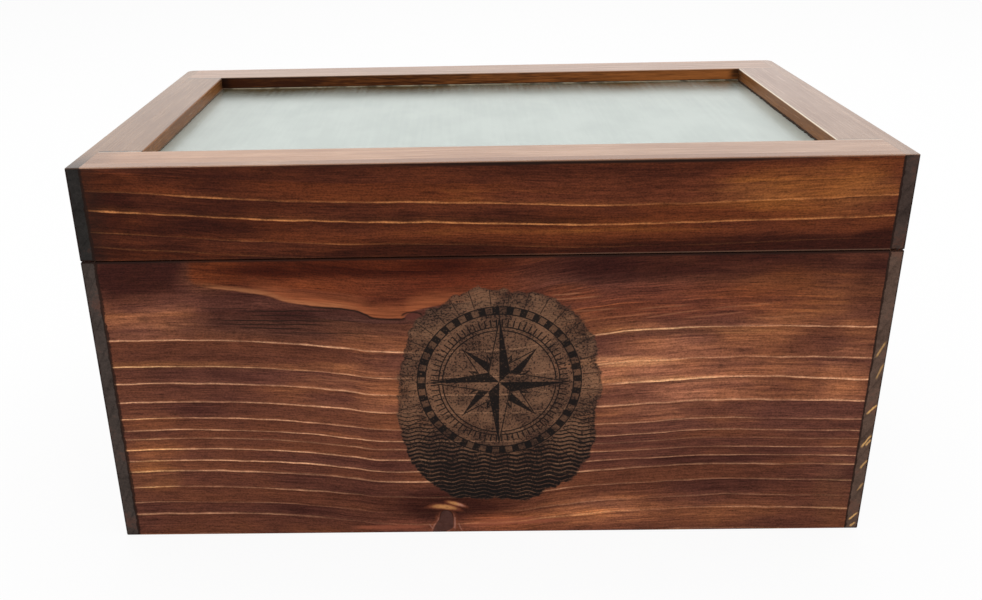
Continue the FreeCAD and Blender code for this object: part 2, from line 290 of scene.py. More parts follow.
def make_edge_distance():
    """How far a point on a squared board is from its sides, and from its nearest edge."""
    inputs = {"Place": "vector", "Low": "vector", "High": "vector"}
    r = group_recipe("edge distance", inputs, values("X", "Y", "Z", "Edge"))
    from_low = r.vmath("SUBTRACT", r.given["Place"], r.given["Low"])
    from_high = r.vmath("SUBTRACT", r.given["High"], r.given["Place"])
    x, y, z = r.split(r.vmath("MINIMUM", from_low, from_high))
    small = r.least(x, y)
    large = r.most(x, y)
    edge = r.most(small, r.least(large, z))
    for name, value in zip(("X", "Y", "Z", "Edge"), (x, y, z, edge)):
        r.feed(r.result[name], value)
    return r.tree


def make_wood_fibre():
    """Streaks, fine flecks, grit and broad mottling that follow the grain."""
    outputs = values("Streak", "Fleck", "Grit", "Mottle")
    r = group_recipe("wood fibre", values("Along", "Across", "Through"), outputs)

    def fibres(name, along, across, **look):
        runs = [(r.given["Along"], along), (r.given["Across"], across), (r.given["Through"], across)]
        r.feed(r.result[name], r.grain(*runs, **look))

    fibres("Streak", 20.0, 560.0, detail=5.0, roughness=0.66)
    fibres("Fleck", 90.0, 1600.0, detail=2.0, roughness=0.6)
    fibres("Grit", 1100.0, 1700.0, detail=1.0, roughness=0.6)
    fibres("Mottle", 16.0, 46.0, detail=3.0, roughness=0.55)
    return r.tree


def make_growth_rings():
    """Bright brushed lines at whole ring numbers, soft above and sharp below, with a glow over each, shade
    under the next, and a tone of its own for the band between two lines."""
    inputs = values("Ring", "Along", "Strength", "Width")
    r = group_recipe("growth rings", inputs, values("Line", "Glow", "Shade", "Band"))
    along = r.given["Along"]
    ahead = r.add(r.given["Ring"], LINE_LEAD)
    part = r.calc("FRACT", ahead)
    count = r.calc("FLOOR", ahead)
    patchy = r.grain((along, 18.0), (count, 7.3), detail=4.0, roughness=0.6)
    broken = r.grain((along, 110.0), (count, 5.1), detail=2.0)
    worn = r.mul(r.rise(patchy, 0.32, 0.62, 0.25, 1.0), r.rise(broken, 0.3, 0.65, 0.75, 1.05))
    strength = r.mul(worn, r.given["Strength"])
    off = r.sub(part, LINE_LEAD)
    width = r.mul(r.given["Width"], r.rise(broken, 0.35, 0.65, 0.9, 1.15))
    under = r.fall(r.mul(off, -1.0), r.mul(width, 0.2), width)
    over = r.fall(off, r.mul(width, 0.2), r.mul(width, 2.2))
    glow = r.band(part, 0.4 * LINE_LEAD, LINE_LEAD, LINE_LEAD, 0.55)
    shade = r.most(r.calc("POWER", part, 9.0), r.fall(part, 0.3 * LINE_LEAD, 0.9 * LINE_LEAD))
    band = r.calc("FLOOR", r.given["Ring"])
    r.feed(r.result["Line"], r.mul(under, over, strength))
    r.feed(r.result["Glow"], r.mul(glow, strength))
    r.feed(r.result["Shade"], shade)
    r.feed(r.result["Band"], r.grain((along, 7.0), (band, 4.7), detail=2.0))
    return r.tree


PINE_MASKS = ("Line", "Glow", "Shade", "Light", "Char", "End", "Plain")
PINE_FIBRES = ("Streak", "Mottle", "Fleck", "Grit", "Band")
PINE_COLOURS = ("Deep", "Mid", "Warm", "Bright", "Brushed", "Plain Dark", "Plain Light", "End Grain")


def make_burnt_pine():
    """Pine that is burnt, brushed and stained, with plainer faces and charred edges and ends. The numbers in
    the sums are the share that each effect has in the mix."""
    inputs = values(*PINE_MASKS, *PINE_FIBRES, "Streaks", "Grain")
    inputs.update({name: "colour" for name in PINE_COLOURS})
    r = group_recipe("burnt pine", inputs, {"Color": "colour", "Roughness": "value", "Height": "value"})
    line, glow, shade, light, char, end, plain = (r.given[name] for name in PINE_MASKS)
    streak, mottle, fleck, grit, band = (r.swing(r.given[name]) for name in PINE_FIBRES)
    colours = [r.given[name] for name in PINE_COLOURS]
    deep, mid, warm, bright, brushed, plain_dark, plain_light, end_grain = colours

    depth = r.add(0.40, r.mul(mottle, 0.8), r.mul(streak, r.given["Streaks"]), r.mul(band, 0.5), light)
    burnt = r.blend(r.rise(depth, 0.0, 0.5), deep, mid)
    burnt = r.blend(r.rise(depth, 0.45, 1.15), burnt, warm)
    burnt = r.blend(r.rise(depth, 0.95, 1.7, 0.0, 0.7), burnt, bright)
    spread = r.calc("MULTIPLY_ADD", r.most(light, 0.0), 1.1, 0.16)
    burnt = r.blend(r.mul(glow, spread), burnt, warm)
    burnt = r.blend(r.mul(shade, 0.25), burnt, deep)
    warmth = r.rise(r.add(band, mottle), -0.2, 0.2)
    burnt = r.blend(1.0, burnt, r.blend(warmth, COOL_BURN, GOLDEN_BURN), "MULTIPLY")
    burnt = r.blend(line, burnt, brushed)

    pale = r.add(0.35, r.mul(streak, 0.9), r.mul(mottle, 0.5), r.mul(glow, 0.35), r.mul(light, 0.8))
    colour = r.blend(plain, burnt, r.blend(r.rise(pale, 0.0, 1.0), plain_dark, plain_light))
    rough_skin = r.calc("MULTIPLY_ADD", plain, -0.75, 1.0)
    speckled = r.mul(r.add(r.mul(fleck, 1.05), r.mul(grit, 0.8)), r.given["Grain"])
    grainy = r.add(1.0, r.mul(rough_skin, r.add(speckled, r.mul(streak, 0.4))))
    colour = r.blend(1.0, colour, r.vector(grainy, grainy, grainy), "MULTIPLY")

    dusty = r.add(0.95, r.mul(mottle, 1.1), r.mul(streak, 1.3), r.mul(fleck, 0.6), r.mul(shade, -0.2))
    ends = r.blend(1.0, end_grain, r.vector(dusty, dusty, dusty), "MULTIPLY")
    ends = r.blend(r.rise(r.add(mottle, r.mul(streak, 0.4)), 0.04, 0.2, 0.0, 0.4), ends, mid)
    colour = r.blend(end, colour, ends)
    r.feed(r.result["Color"], r.blend(r.mul(char, 0.85), colour, CHARRED))

    rough = r.add(0.44, r.mul(streak, 0.25), r.mul(fleck, 0.15), r.mul(char, 0.12), r.mul(end, 0.22))
    r.feed(r.result["Roughness"], r.add(rough, r.mul(plain, -0.18)))
    raised = r.add(r.mul(line, 0.7), r.mul(streak, 0.9), r.mul(fleck, 0.35))
    r.feed(r.result["Height"], r.mul(raised, r.calc("MULTIPLY_ADD", plain, -0.7, 1.0)))
    return r.tree


EDGE_DISTANCE = make_edge_distance()
WOOD_FIBRE = make_wood_fibre()
GROWTH_RINGS = make_growth_rings()
BURNT_PINE = make_burnt_pine()


# Materials

def new_material(name):
    """A material with a shader and a recipe for the rest."""
    material = bpy.data.materials.new(name)
    material.use_nodes = True
    tree = material.node_tree
    tree.nodes.clear()
    recipe = Recipe(tree)
    recipe.material = material
    recipe.shader = recipe.node("ShaderNodeBsdfPrincipled")
    recipe.output = recipe.node("ShaderNodeOutputMaterial")
    tree.links.new(recipe.shader.outputs[0], recipe.output.inputs["Surface"])
    return recipe


def bump(recipe, height, depth):
    """Turns a height into a surface normal. Depth is in metres."""
    made = recipe.node("ShaderNodeBump")
    recipe.fill(made, {"Strength": 1.0, "Distance": depth, "Height": height})
    recipe.shade(Normal=made.outputs[0])


SPOT_FADE = 2.2


def oval(r, u, v, middle_u, middle_v, half_u, half_v):
    """How far out a place lies in an oval given in mm: sideways, upwards, and both squared and added."""
    away_u = r.div(r.sub(u, middle_u * MM), half_u * MM)
    away_v = r.div(r.sub(v, middle_v * MM), half_v * MM)
    return away_u, away_v, r.add(r.mul(away_u, away_u), r.mul(away_v, away_v))


def soft_spot(r, u, v, spot):
    """A soft oval place on a face: middle and half sizes in mm, and strength."""
    *shape, strength = spot
    return r.mul(r.fall(oval(r, u, v, *shape)[2], 0.0, SPOT_FADE), strength)


def soft_spots(r, u, v, spots):
    return r.add(*[soft_spot(r, u, v, spot) for spot in spots])


BOARD_SHINE = 0.05
BOARD_RELIEF = 0.22 * MM
RAIL_RELIEF = 0.08 * MM
CHAR_REACH = 1.1 * MM

# Front board of the body, with places and sizes in mm

# Growth rings by their height at the left end, their strengths, their dip at the right and their sag
BODY_RINGS = (
    0.0, 13.5, 20.8, 30.5, 40.4, 46.9, 54.0, 60.4, 65.5, 72.5, 82.3, 92.8, 102.8, 117.5, 133.0, 148.0,
    162.0,
)
BODY_RING_STRENGTHS = (
    0.3, 0.55, 0.4, 0.5, 0.85, 1.0, 0.95, 0.3, 0.9, 0.75, 0.85, 1.0, 0.7, 1.0, 0.0, 0.0, 0.0,
)
BODY_RIGHT_DIP = (
    (0, 0.0), (14, 0.3), (30, 1.0), (41, 0.5), (50, -1.6), (62, -4.0), (75, -3.4), (85, -1.8), (95, -0.2),
    (105, 1.2), (118, 3.4), (165, 3.4),
)
BODY_SAG = (
    (-200, 0.0), (-156, 0.5), (-135, 0.0), (-100, -2.2), (-72, -5.4), (-45, -8.0), (0, -8.0), (30, -5.0),
    (58, -2.2), (88, -0.4), (122, 1.0), (150, 0.6), (200, -1.2),
)
# Light and dark spots by their middle, half sizes and strength, and tints, which add a colour
BODY_SPOTS = (
    (88, 97, 52, 18, 0.46), (60, 100, 34, 5, 0.25), (-62, 92, 45, 30, 0.22), (-172, 131, 26, 11, 0.36),
    (150, 138, 48, 16, 0.12), (-165, 60, 30, 18, 0.02), (95, 14, 60, 10, 0.20), (140, 74, 50, 14, 0.14),
    (-174, 153, 20, 15, -0.40), (95, 158, 80, 10, -0.30), (-100, 126, 60, 7, -0.16),
    (140, 34, 50, 16, -0.12), (-100, 24, 95, 14, -0.06), (-8, 18, 42, 9, -0.24),
    (190, 142, 12, 18, -0.22), (-70, 157, 70, 6, -0.34), (-120, 70, 70, 22, -0.04),
    (-130, 111, 60, 8, -0.10), (85, 136, 60, 9, 0.06), (76, 69, 28, 9, 0.28), (98, 86, 14, 5, 0.22),
    (96, 113, 16, 4, 0.22), (184, 98, 12, 24, 0.22), (158, 99, 18, 6, 0.20), (172, 86, 16, 7, 0.14),
    (69, 51, 22, 6, 0.18), (48, 13, 34, 10, 0.26), (-88, 110, 16, 9, -0.18), (-56, 82, 12, 6, 0.18),
    (128, 143, 26, 6, -0.20), (72, 122, 14, 4, 0.20), (137, 117, 20, 6, 0.20), (-186, 137, 10, 5, -0.20),
    (-113, 151, 16, 5, -0.16), (178, 45, 14, 10, 0.16),
)
BODY_TINTS = (
    (-137, 153, 13, 9, 0.7, tone(128, 76, 46)), (-74, 157, 46, 6, 0.9, tone(88, 44, 30)),
    (-18, 150, 26, 9, 0.5, tone(96, 42, 24)), (150, 140, 40, 12, 0.35, tone(126, 72, 36)),
    (90, 136, 60, 9, 0.55, tone(116, 56, 38)), (95, 158, 80, 8, 0.45, tone(84, 38, 28)),
    (160, 150, 24, 8, 0.55, tone(96, 50, 30)), (62, 103, 30, 2.8, 0.3, tone(180, 120, 84)),
    (95, 119.5, 42, 2.0, 0.3, tone(160, 106, 74)), (80, 92.5, 36, 2.0, 0.3, tone(160, 106, 74)),
    (88, 97, 50, 14, 0.3, tone(104, 57, 44)), (40, 141, 12, 4, 0.5, tone(140, 78, 46)),
    (-165, 104.0, 36, 2.2, 0.5, tone(138, 88, 58)), (-105, 102.0, 30, 2.2, 0.4, tone(138, 86, 60)),
    (-178, 74, 14, 6, 0.5, tone(148, 88, 58)), (-178, 54, 14, 6, 0.6, tone(150, 90, 58)),
    (-180, 38, 13, 8, 0.7, tone(150, 92, 58)), (183, 24, 9, 18, 0.4, tone(124, 80, 54)),
    (-95, 125, 60, 7, 0.6, tone(96, 62, 50)), (-44, 4, 16, 5, 0.6, tone(146, 82, 60)),
    (-3, 6, 20, 5, 0.8, tone(156, 90, 66)), (40, 7, 44, 7, 0.6, tone(152, 88, 56)),
    (-24, 13, 16, 8, 0.5, tone(80, 46, 36)), (117.3, 100.2, 0.9, 0.7, 0.8, CHARRED),
    (-173, 129.5, 3.0, 2.0, 0.4, CHARRED),
)
# Places where the grain is streakier, and where the rings fade
STREAKY_PLACES = ((85, 134, 66, 12, 0.7), (-75, 142, 50, 10, -0.25))
RING_HUSH = (
    (-30, 14, 60, 13, 0.9), (130, 32, 75, 24, 0.52), (100, 110, 80, 20, 0.25), (112, 66, 90, 11, 0.5),
)
# Thin lines from one place to another, with a strength, and the lower edge of the flame
PALE_LINES = (
    (28, 137.0, 56, 139.2, 0.5), (30, 139.6, 46, 140.8, 0.5), (34, 130.6, 66, 132.6, 0.35),
    (72, 131.5, 100, 133.8, 0.35), (76, 127.0, 106, 130.9, 0.4), (96, 126.2, 128, 129.6, 0.35),
    (110, 131.4, 142, 134.2, 0.35), (60, 127.6, 84, 129.6, 0.3), (130, 126.0, 160, 127.2, 0.3),
    (-100, 90.5, -66, 88.8, 0.3), (-96, 95.2, -60, 93.0, 0.3),
)
DARK_LINES = (
    (-127, 133.6, -74, 132.9, 0.9), (-140, 129.0, -74, 127.5, 0.95), (-137, 126.7, -77, 125.3, 0.9),
    (-128, 124.4, -90, 123.3, 0.8), (-120, 131.2, -84, 130.4, 0.7), (-112, 121.6, -60, 120.2, 0.6),
    (-146, 135.4, -118, 134.8, 0.6), (-98, 129.4, -58, 126.6, 0.5),
)
FLAME_EDGE = (
    (-200, 156), (-150, 151), (-145, 147.9), (-133, 145.3), (-118, 143.1), (-108, 140.8), (-99, 137.7),
    (-89, 135.8), (-71, 134.1), (-62, 131.0), (-55, 128.7), (-45, 128.2), (-40, 131.0), (-20, 136),
    (40, 140), (90, 148), (200, 166),
)

# Front board of the lid, in the same way

LID_RINGS = (160.0, 168.0, 175.6, 186.7, 196.6, 206.0, 216.0)
LID_RING_STRENGTHS = (0.0, 0.1, 0.25, 0.85, 0.6, 0.0, 0.0)
LID_HUSH = ((-188, 197, 40, 6, 0.7), (130, 186, 70, 14, 0.3), (110, 168, 130, 5, 0.8))
LID_SAG = (
    (-200, 0.6), (-170, -1.3), (-144, -3.2), (-125, -4.6), (-84, -6.9), (-44, -8.0), (4, -9.3),
    (50, -10.9), (84, -10.6), (118, -10.0), (158, -9.0), (200, -8.1),
)
LID_SPOTS = (
    (150, 193, 45, 12, 0.34), (60, 190, 80, 9, 0.18), (-130, 198, 55, 6, -0.06), (20, 171, 90, 4, 0.18),
    (-20, 203, 150, 6, -0.12), (-150, 178, 50, 6, -0.26), (-130, 188, 70, 4, -0.16),
    (30, 180, 100, 4, -0.20), (172, 175, 24, 7, 0.12), (0, 165, 200, 6, -0.42), (190, 166, 12, 7, -0.4),
    (-188, 170, 14, 10, -0.1), (60, 208, 110, 1.4, -0.5), (-104, 167, 36, 4, 0.32),
    (-181, 188, 12, 6, -0.28), (-37, 191, 16, 3, -0.18), (-182, 197, 12, 7, -0.22),
    (178, 190, 16, 8, 0.20), (32, 177, 18, 3, -0.15),
)


def drawn_rings(r, along, across, heights, strengths, sag, dip=None):
    """Ring numbers that pass through given heights and sag along the board, the strength and line width
    of each ring, and the height with the sag taken out, which the grain follows."""
    wander = r.grain((along, 22.0), (across, 60.0), detail=3.0)
    shake = r.grain((along, 110.0), (across, 160.0), detail=2.0)
    level = r.sub(across, r.curve_in_mm(along, sag))
    height = r.add(level, r.swing(wander, 2.4 * MM), r.swing(shake, 0.5 * MM))
    if dip:
        rightwards = r.rise(along, -20 * MM, 75 * MM)
        height = r.sub(height, r.mul(r.curve_in_mm(across, dip), rightwards))
    ring = r.curve(r.in_mm(height), [(h, n) for n, h in enumerate(heights)])
    count = r.calc("FLOOR", r.add(ring, LINE_LEAD))
    gaps = [(high - low) * MM for low, high in zip(heights, heights[1:])]
    widths = [LINE_HALF / gap for gap in gaps + gaps[-1:]]
    return ring, r.stairs(count, strengths), r.stairs(count, widths), height


def hushed(r, along, across, drawn, spots):
    """Drawn rings that fade in soft places, and the height that the grain follows."""
    ring, strength, width, height = drawn
    return (ring, r.mul(strength, r.flip(soft_spots(r, along, across, spots))), width), height


def grown_rings(r, along, across, through, spacing, lean, seed):
    """Ring numbers of an ordinary board, wandering along it and leaning through its thickness."""
    slow = r.noise(r.vector(r.add(r.mul(along, 2.6), seed), r.mul(across, 4.0)), detail=1.0)
    quick = r.noise(r.vector(r.add(r.mul(along, 14.0), seed), r.mul(across, 55.0)), detail=3.0)
    height = r.add(across, r.mul(through, lean), r.swing(slow, 34 * MM), r.swing(quick, 4 * MM))
    ring = r.add(r.div(height, spacing), seed)
    uneven = r.noise(r.vector(r.mul(ring, 0.4), seed), detail=1.0)
    ring = r.add(ring, r.swing(uneven, 2.4))
    own = r.noise(r.vector(r.mul(r.calc("FLOOR", r.add(ring, LINE_LEAD)), 31.7), seed), detail=0.0)
    return ring, r.rise(own, 0.35, 0.65, 0.05, 0.9), LINE_HALF / spacing


def board_distances(r, piece):
    """How far a point on this board is from its sides, and from its nearest edge."""
    low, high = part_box(piece)
    return r.use(EDGE_DISTANCE, Place=r.place(), Low=low, High=high)


def wood_grain(r, along, across, through, rings_given):
    """Fibre and growth rings of one piece of wood."""
    fibre = r.use(WOOD_FIBRE, Along=along, Across=across, Through=through)
    ring, strength, width = rings_given
    return fibre, r.use(GROWTH_RINGS, Ring=ring, Along=along, Strength=strength, Width=width)


def finish_board(r, edge, rings_given, grain_place, light, stain, end, plain, char_reach, streaks, grain):
    """Joins rings, fibre and charred edges of one board in its shader. The grain's place is the way along it,
    across it and through it."""
    along, across, through = grain_place
    fibre, rings = wood_grain(r, along, across, through, rings_given)
    lick = r.noise(r.vector(along, across, through), scale=260.0, detail=4.0, roughness=0.62)
    licked = r.add(edge, r.swing(lick, char_reach, 2.0))
    char = r.mul(r.fall(licked, r.mul(char_reach, 0.45), r.mul(char_reach, 0.85)), r.flip(plain))
    effects = {socket.name: socket for socket in (*rings, *fibre)}
    pine = r.use(BURNT_PINE, Light=light, Char=char, End=end, Plain=plain, Streaks=streaks, Grain=grain,
                 **effects, **stain, **PLAIN_STAIN)
    r.shade(Base_Color=pine["Color"], Roughness=pine["Roughness"], Specular_IOR_Level=BOARD_SHINE)
    bump(r, pine["Height"], BOARD_RELIEF)
    return pine["Color"], r.add(fibre["Streak"], r.swing(fibre["Fleck"], 0.5))


# The print on the front board, in mm: a wind rose with a degree ring over a hatched sea, on a tan ground

PRINT_MIDDLE = (5.0, 82.0)
PRINT_HALF = (53.0, 62.0)
ROSE_MIDDLE = (5.0, 92.0)
ROSE_POINTS = ((4, 0.0, 37.0, 8.0), (4, 45.0, 27.0, 8.0), (8, 22.5, 17.0, 9.0))
RING_RADII = (29.0, 31.0, 38.0, 42.0)
TICK_COUNT = 72
BLOCK_COUNT = 36
RHUMB_COUNT = 32
TICK_END = 35.0
LINE_WIDTH = 0.45
INK_BLUR = 0.3
PRINT_SQUARENESS = 2.6
SEA_TOP = 84.0
SEA_FOOT = 26.0


def star(r, radius, angle, points, turn, tip, notch):
    """A pointed star: how far inside its outline a point lies, and which half of a ray it is on."""
    step = 2 * math.pi / points
    share = r.div(r.sub(angle, math.radians(turn)), step)
    folded = r.sub(r.calc("FRACT", r.add(share, 0.5)), 0.5)
    side = r.calc("GREATER_THAN", folded, 0.0)
    away = r.mul(r.calc("ABSOLUTE", folded), step)
    out = r.mul(radius, r.calc("COSINE", away))
    beside = r.mul(radius, r.calc("SINE", away))
    notch_out = notch * math.cos(step / 2)
    notch_beside = notch * math.sin(step / 2)
    length = math.hypot(notch_out - tip, notch_beside)
    inside = r.sub(r.mul(beside, (notch_out - tip) / length), r.mul(r.sub(out, tip), notch_beside / length))
    return inside, side


def spokes(r, radius, turn_share, count, half_width):
    """Thin lines that run out from a middle, evenly round it."""
    off = r.calc("ABSOLUTE", r.sub(r.calc("FRACT", r.mul(turn_share, count)), 0.5))
    return r.fall(r.mul(off, radius, 2 * math.pi / count), half_width, half_width + INK_BLUR)


def wind_rose(r, u, v):
    """Ground, ink and shading of the print, as masks over the front board."""
    mm_u = r.in_mm(u)
    mm_v = r.in_mm(v)
    rough = r.grain((u, 60.0), (v, 60.0), detail=4.0, roughness=0.65)
    spread = r.swing(rough, 0.6)
    for way, middle, half in zip((mm_u, mm_v), PRINT_MIDDLE, PRINT_HALF):
        out = r.calc("ABSOLUTE", r.div(r.sub(way, middle), half))
        spread = r.add(spread, r.calc("POWER", out, PRINT_SQUARENESS))
    ground = r.fall(spread, 0.92, 0.98)
    rim = r.rise(spread, 0.80, 0.95)
    ru = r.sub(mm_u, ROSE_MIDDLE[0])
    rv = r.sub(mm_v, ROSE_MIDDLE[1])
    radius = r.calc("SQRT", r.add(r.mul(ru, ru), r.mul(rv, rv)))
    angle = r.calc("ARCTAN2", ru, rv)
    turn_share = r.div(angle, 2 * math.pi)
    ink = 0.0
    for count, turn, tip, notch in reversed(ROSE_POINTS):
        inside, side = star(r, radius, angle, count, turn, tip, notch)
        front = r.rise(inside, -0.15, 0.15)
        outline = r.mul(front, r.fall(inside, LINE_WIDTH, LINE_WIDTH + INK_BLUR))
        own = r.most(r.mul(front, side), outline)
        ink = r.most(r.mul(ink, r.flip(front)), own)
    behind = r.flip(front)
    for ring in RING_RADII:
        off = r.calc("ABSOLUTE", r.sub(radius, ring))
        ink = r.most(ink, r.mul(r.fall(off, LINE_WIDTH / 2, LINE_WIDTH), behind))
    block = r.calc("GREATER_THAN", r.calc("FRACT", r.mul(turn_share, BLOCK_COUNT)), 0.5)
    tick_ring, block_ring, outer_ring = RING_RADII[1:]
    band = r.band(radius, block_ring, block_ring + INK_BLUR, outer_ring - INK_BLUR, outer_ring)
    ink = r.most(ink, r.mul(r.most(block, 0.35), band))
    ticked = r.mul(r.band(radius, tick_ring, tick_ring + 0.2, TICK_END, TICK_END + 0.4), behind)
    ink = r.most(ink, r.mul(spokes(r, radius, turn_share, TICK_COUNT, 0.2), ticked))
    outer = r.rise(radius, outer_ring + 0.4, outer_ring + 1.0)
    rhumbs = r.mul(spokes(r, radius, turn_share, RHUMB_COUNT, 0.1), outer, 0.85)
    swell = r.grain((u, 30.0), (v, 30.0), detail=2.0)
    crest = r.mul(r.calc("SINE", r.mul(mm_u, 0.55)), 1.6)
    wave = r.calc("SINE", r.add(r.mul(mm_v, 2.6), crest, r.mul(swell, 14.0)))
    dense = r.fall(mm_v, SEA_FOOT, SEA_TOP)
    trough = r.calc("MULTIPLY_ADD", dense, -1.75, 0.8)
    sea = r.mul(r.rise(wave, trough, r.add(trough, 0.35)), outer)
    ink = r.most(ink, r.most(rhumbs, sea))
    speckle = r.grain((u, 900.0), (v, 900.0), detail=3.0, roughness=0.7)
    ink = r.mul(ink, r.rise(speckle, 0.27, 0.42))
    specks = r.mul(r.rise(r.add(speckle, r.mul(rough, 0.35)), 0.68, 0.78), 0.85)
    ink = r.most(ink, specks)
    shading = r.add(r.mul(rim, 0.5), r.mul(dense, 0.55), r.rise(rough, 0.36, 0.62, 0.0, 0.75),
                    r.rise(speckle, 0.45, 0.7, 0.0, 0.5))
    return ground, r.mul(ink, ground), r.least(shading, 1.0)


def tinted(r, colour, u, v, fibrous, tints):
    """Soft places that lean towards a colour of their own and keep the grain."""
    broken = r.rise(fibrous, 0.3, 0.7, 0.6, 1.0)
    for *spot, tint in tints:
        lean = [part / usual for part, usual in zip(tint, BODY_STAIN["Mid"])]
        colour = r.blend(r.mul(soft_spot(r, u, v, spot), broken), colour, lean, "MULTIPLY")
    return colour


def strokes(r, u, v, lines, half_width, ragged, wander):
    """Ragged strokes from one place to another, in mm, each with its own strength."""
    torn = r.grain((u, 700.0), (v, 260.0), detail=2.0)
    sway = r.grain((u, 45.0), (v, 150.0), detail=2.0)
    swayed = r.add(v, r.swing(sway, wander * MM))
    marks = 0.0
    for from_u, from_v, to_u, to_v, strength in lines:
        length = math.hypot(to_u - from_u, to_v - from_v)
        run_u, run_v = (to_u - from_u) / length, (to_v - from_v) / length
        du = r.sub(u, from_u * MM)
        dv = r.sub(swayed, from_v * MM)
        along = r.mul(r.add(r.mul(du, run_u), r.mul(dv, run_v)), 1.0 / (length * MM))
        beside = r.calc("ABSOLUTE", r.sub(r.mul(du, run_v), r.mul(dv, run_u)))
        beside = r.add(beside, r.swing(torn, ragged * MM))
        tapered = r.mul(r.band(along, -0.05, 0.2, 0.75, 1.05), strength)
        marks = r.most(marks, r.mul(r.fall(beside, 0.2 * half_width * MM, half_width * MM), tapered))
    return marks


# Flame and knots of the front board, in mm

FLAME_TINT = (1.12, 0.80, 0.54, 1.0)
FLAME_TIP = -150
FLAME_RIGHT_END = -43


def flame_figure(r, colour, x, z, fibrous):
    """The flame-shaped figure at the top of the front board, bright along its lower edge, and thin streaks
    round it."""
    ragged = r.grain((x, 60.0), (z, 240.0), detail=3.0)
    above = r.add(r.sub(z, r.curve_in_mm(x, FLAME_EDGE)), r.swing(ragged, 2.0 * MM))
    tip = r.add(x, r.swing(ragged, 5.0 * MM))
    reach = r.mul(r.rise(tip, FLAME_TIP * MM, (FLAME_TIP + 5) * MM), r.fall(x, -20 * MM, 50 * MM))
    softness = r.rise(x, -130 * MM, -84 * MM, 1.8 * MM, 0.6 * MM)
    inside = r.mul(r.rise(above, r.mul(softness, -0.5), softness), reach)
    colour = r.blend(inside, colour, FLAME_TINT, "MULTIPLY")
    bright_reach = r.band(x, -128 * MM, -95 * MM, -45 * MM, 20 * MM)
    lit = r.mul(inside, r.fall(above, 1.5 * MM, 11 * MM), bright_reach, r.rise(fibrous, 0.3, 0.7, 0.4, 1.0))
    colour = r.blend(r.mul(lit, 0.85), colour, FLAME)
    rim_line = r.band(above, -0.3 * MM, 0.6 * MM, 0.6 * MM, 3.6 * MM)
    rim_reach = r.band(x, FLAME_TIP * MM, -130 * MM, -80 * MM, -55 * MM)
    rim = r.mul(rim_line, rim_reach, r.rise(fibrous, 0.3, 0.6, 0.3, 1.0), 0.5)
    colour = r.blend(rim, colour, FLAME_RIM)
    edge_line = r.band(above, -1.4 * MM, -0.3 * MM, -0.2 * MM, 0.4 * MM)
    edge_reach = r.band(x, -105 * MM, -80 * MM, FLAME_RIGHT_END * MM, (FLAME_RIGHT_END + 4) * MM)
    colour = r.blend(r.mul(edge_line, edge_reach, 0.9), colour, CHARRED)
    colour = r.blend(strokes(r, x, z, PALE_LINES, 0.6, 0.5, 1.6), colour, PALE_STREAK)
    return r.blend(strokes(r, x, z, DARK_LINES, 0.55, 0.3, 2.0), colour, CHARRED)


KNOT_TOP = 14.6
SMALL_KNOT = (-38.5, 129.6, 5.0, 2.2)
KNOT_LEFT = (
    (-1, -32.0), (1, -31.2), (4, -30.0), (6.5, -28.8), (8.5, -27.6), (11, -27.2), (13.2, -26.2),
    (KNOT_TOP, -23.6),
)
KNOT_RIGHT = (
    (-1, -25.4), (0.7, -23.6), (2.2, -20.6), (3.6, -19.7), (8, -19.5), (11, -19.7), (13.1, -20.8),
    (KNOT_TOP, -23.4),
)
KNOT_GLOWS = ((-24.6, 16.6, 7.4, 1.6, 0.12, 14.0), (-18.2, 18.5, 4.9, 1.2, 0.30, 12.0))
FOOT_STREAKS = ((-15, 4.6, 46, 7.6, 0.7), (-76, 3.6, -31, 3.8, 0.65), (-6, 6.8, 30, 8.8, 0.5))
KNOT_CRACKS = ((-17.0, 6.2, -15.0, 0.6, 0.5), (-33.0, 5.8, -31.0, 2.4, 0.6), (-18.9, 10.0, -18.9, 1.6, 0.5))


def small_knot(r, colour, x, z):
    """The small knot at the end of the flame: a reddish oval under a dark arch."""
    _, up, far = oval(r, x, z, *SMALL_KNOT)
    colour = r.blend(r.mul(r.fall(far, 0.3, 1.0), 0.7), colour, SMALL_KNOT_RED)
    arch = r.mul(r.band(far, 0.55, 0.9, 1.0, 1.5), r.rise(up, -0.3, 0.4))
    return r.blend(r.mul(arch, 0.85), colour, CHARRED)


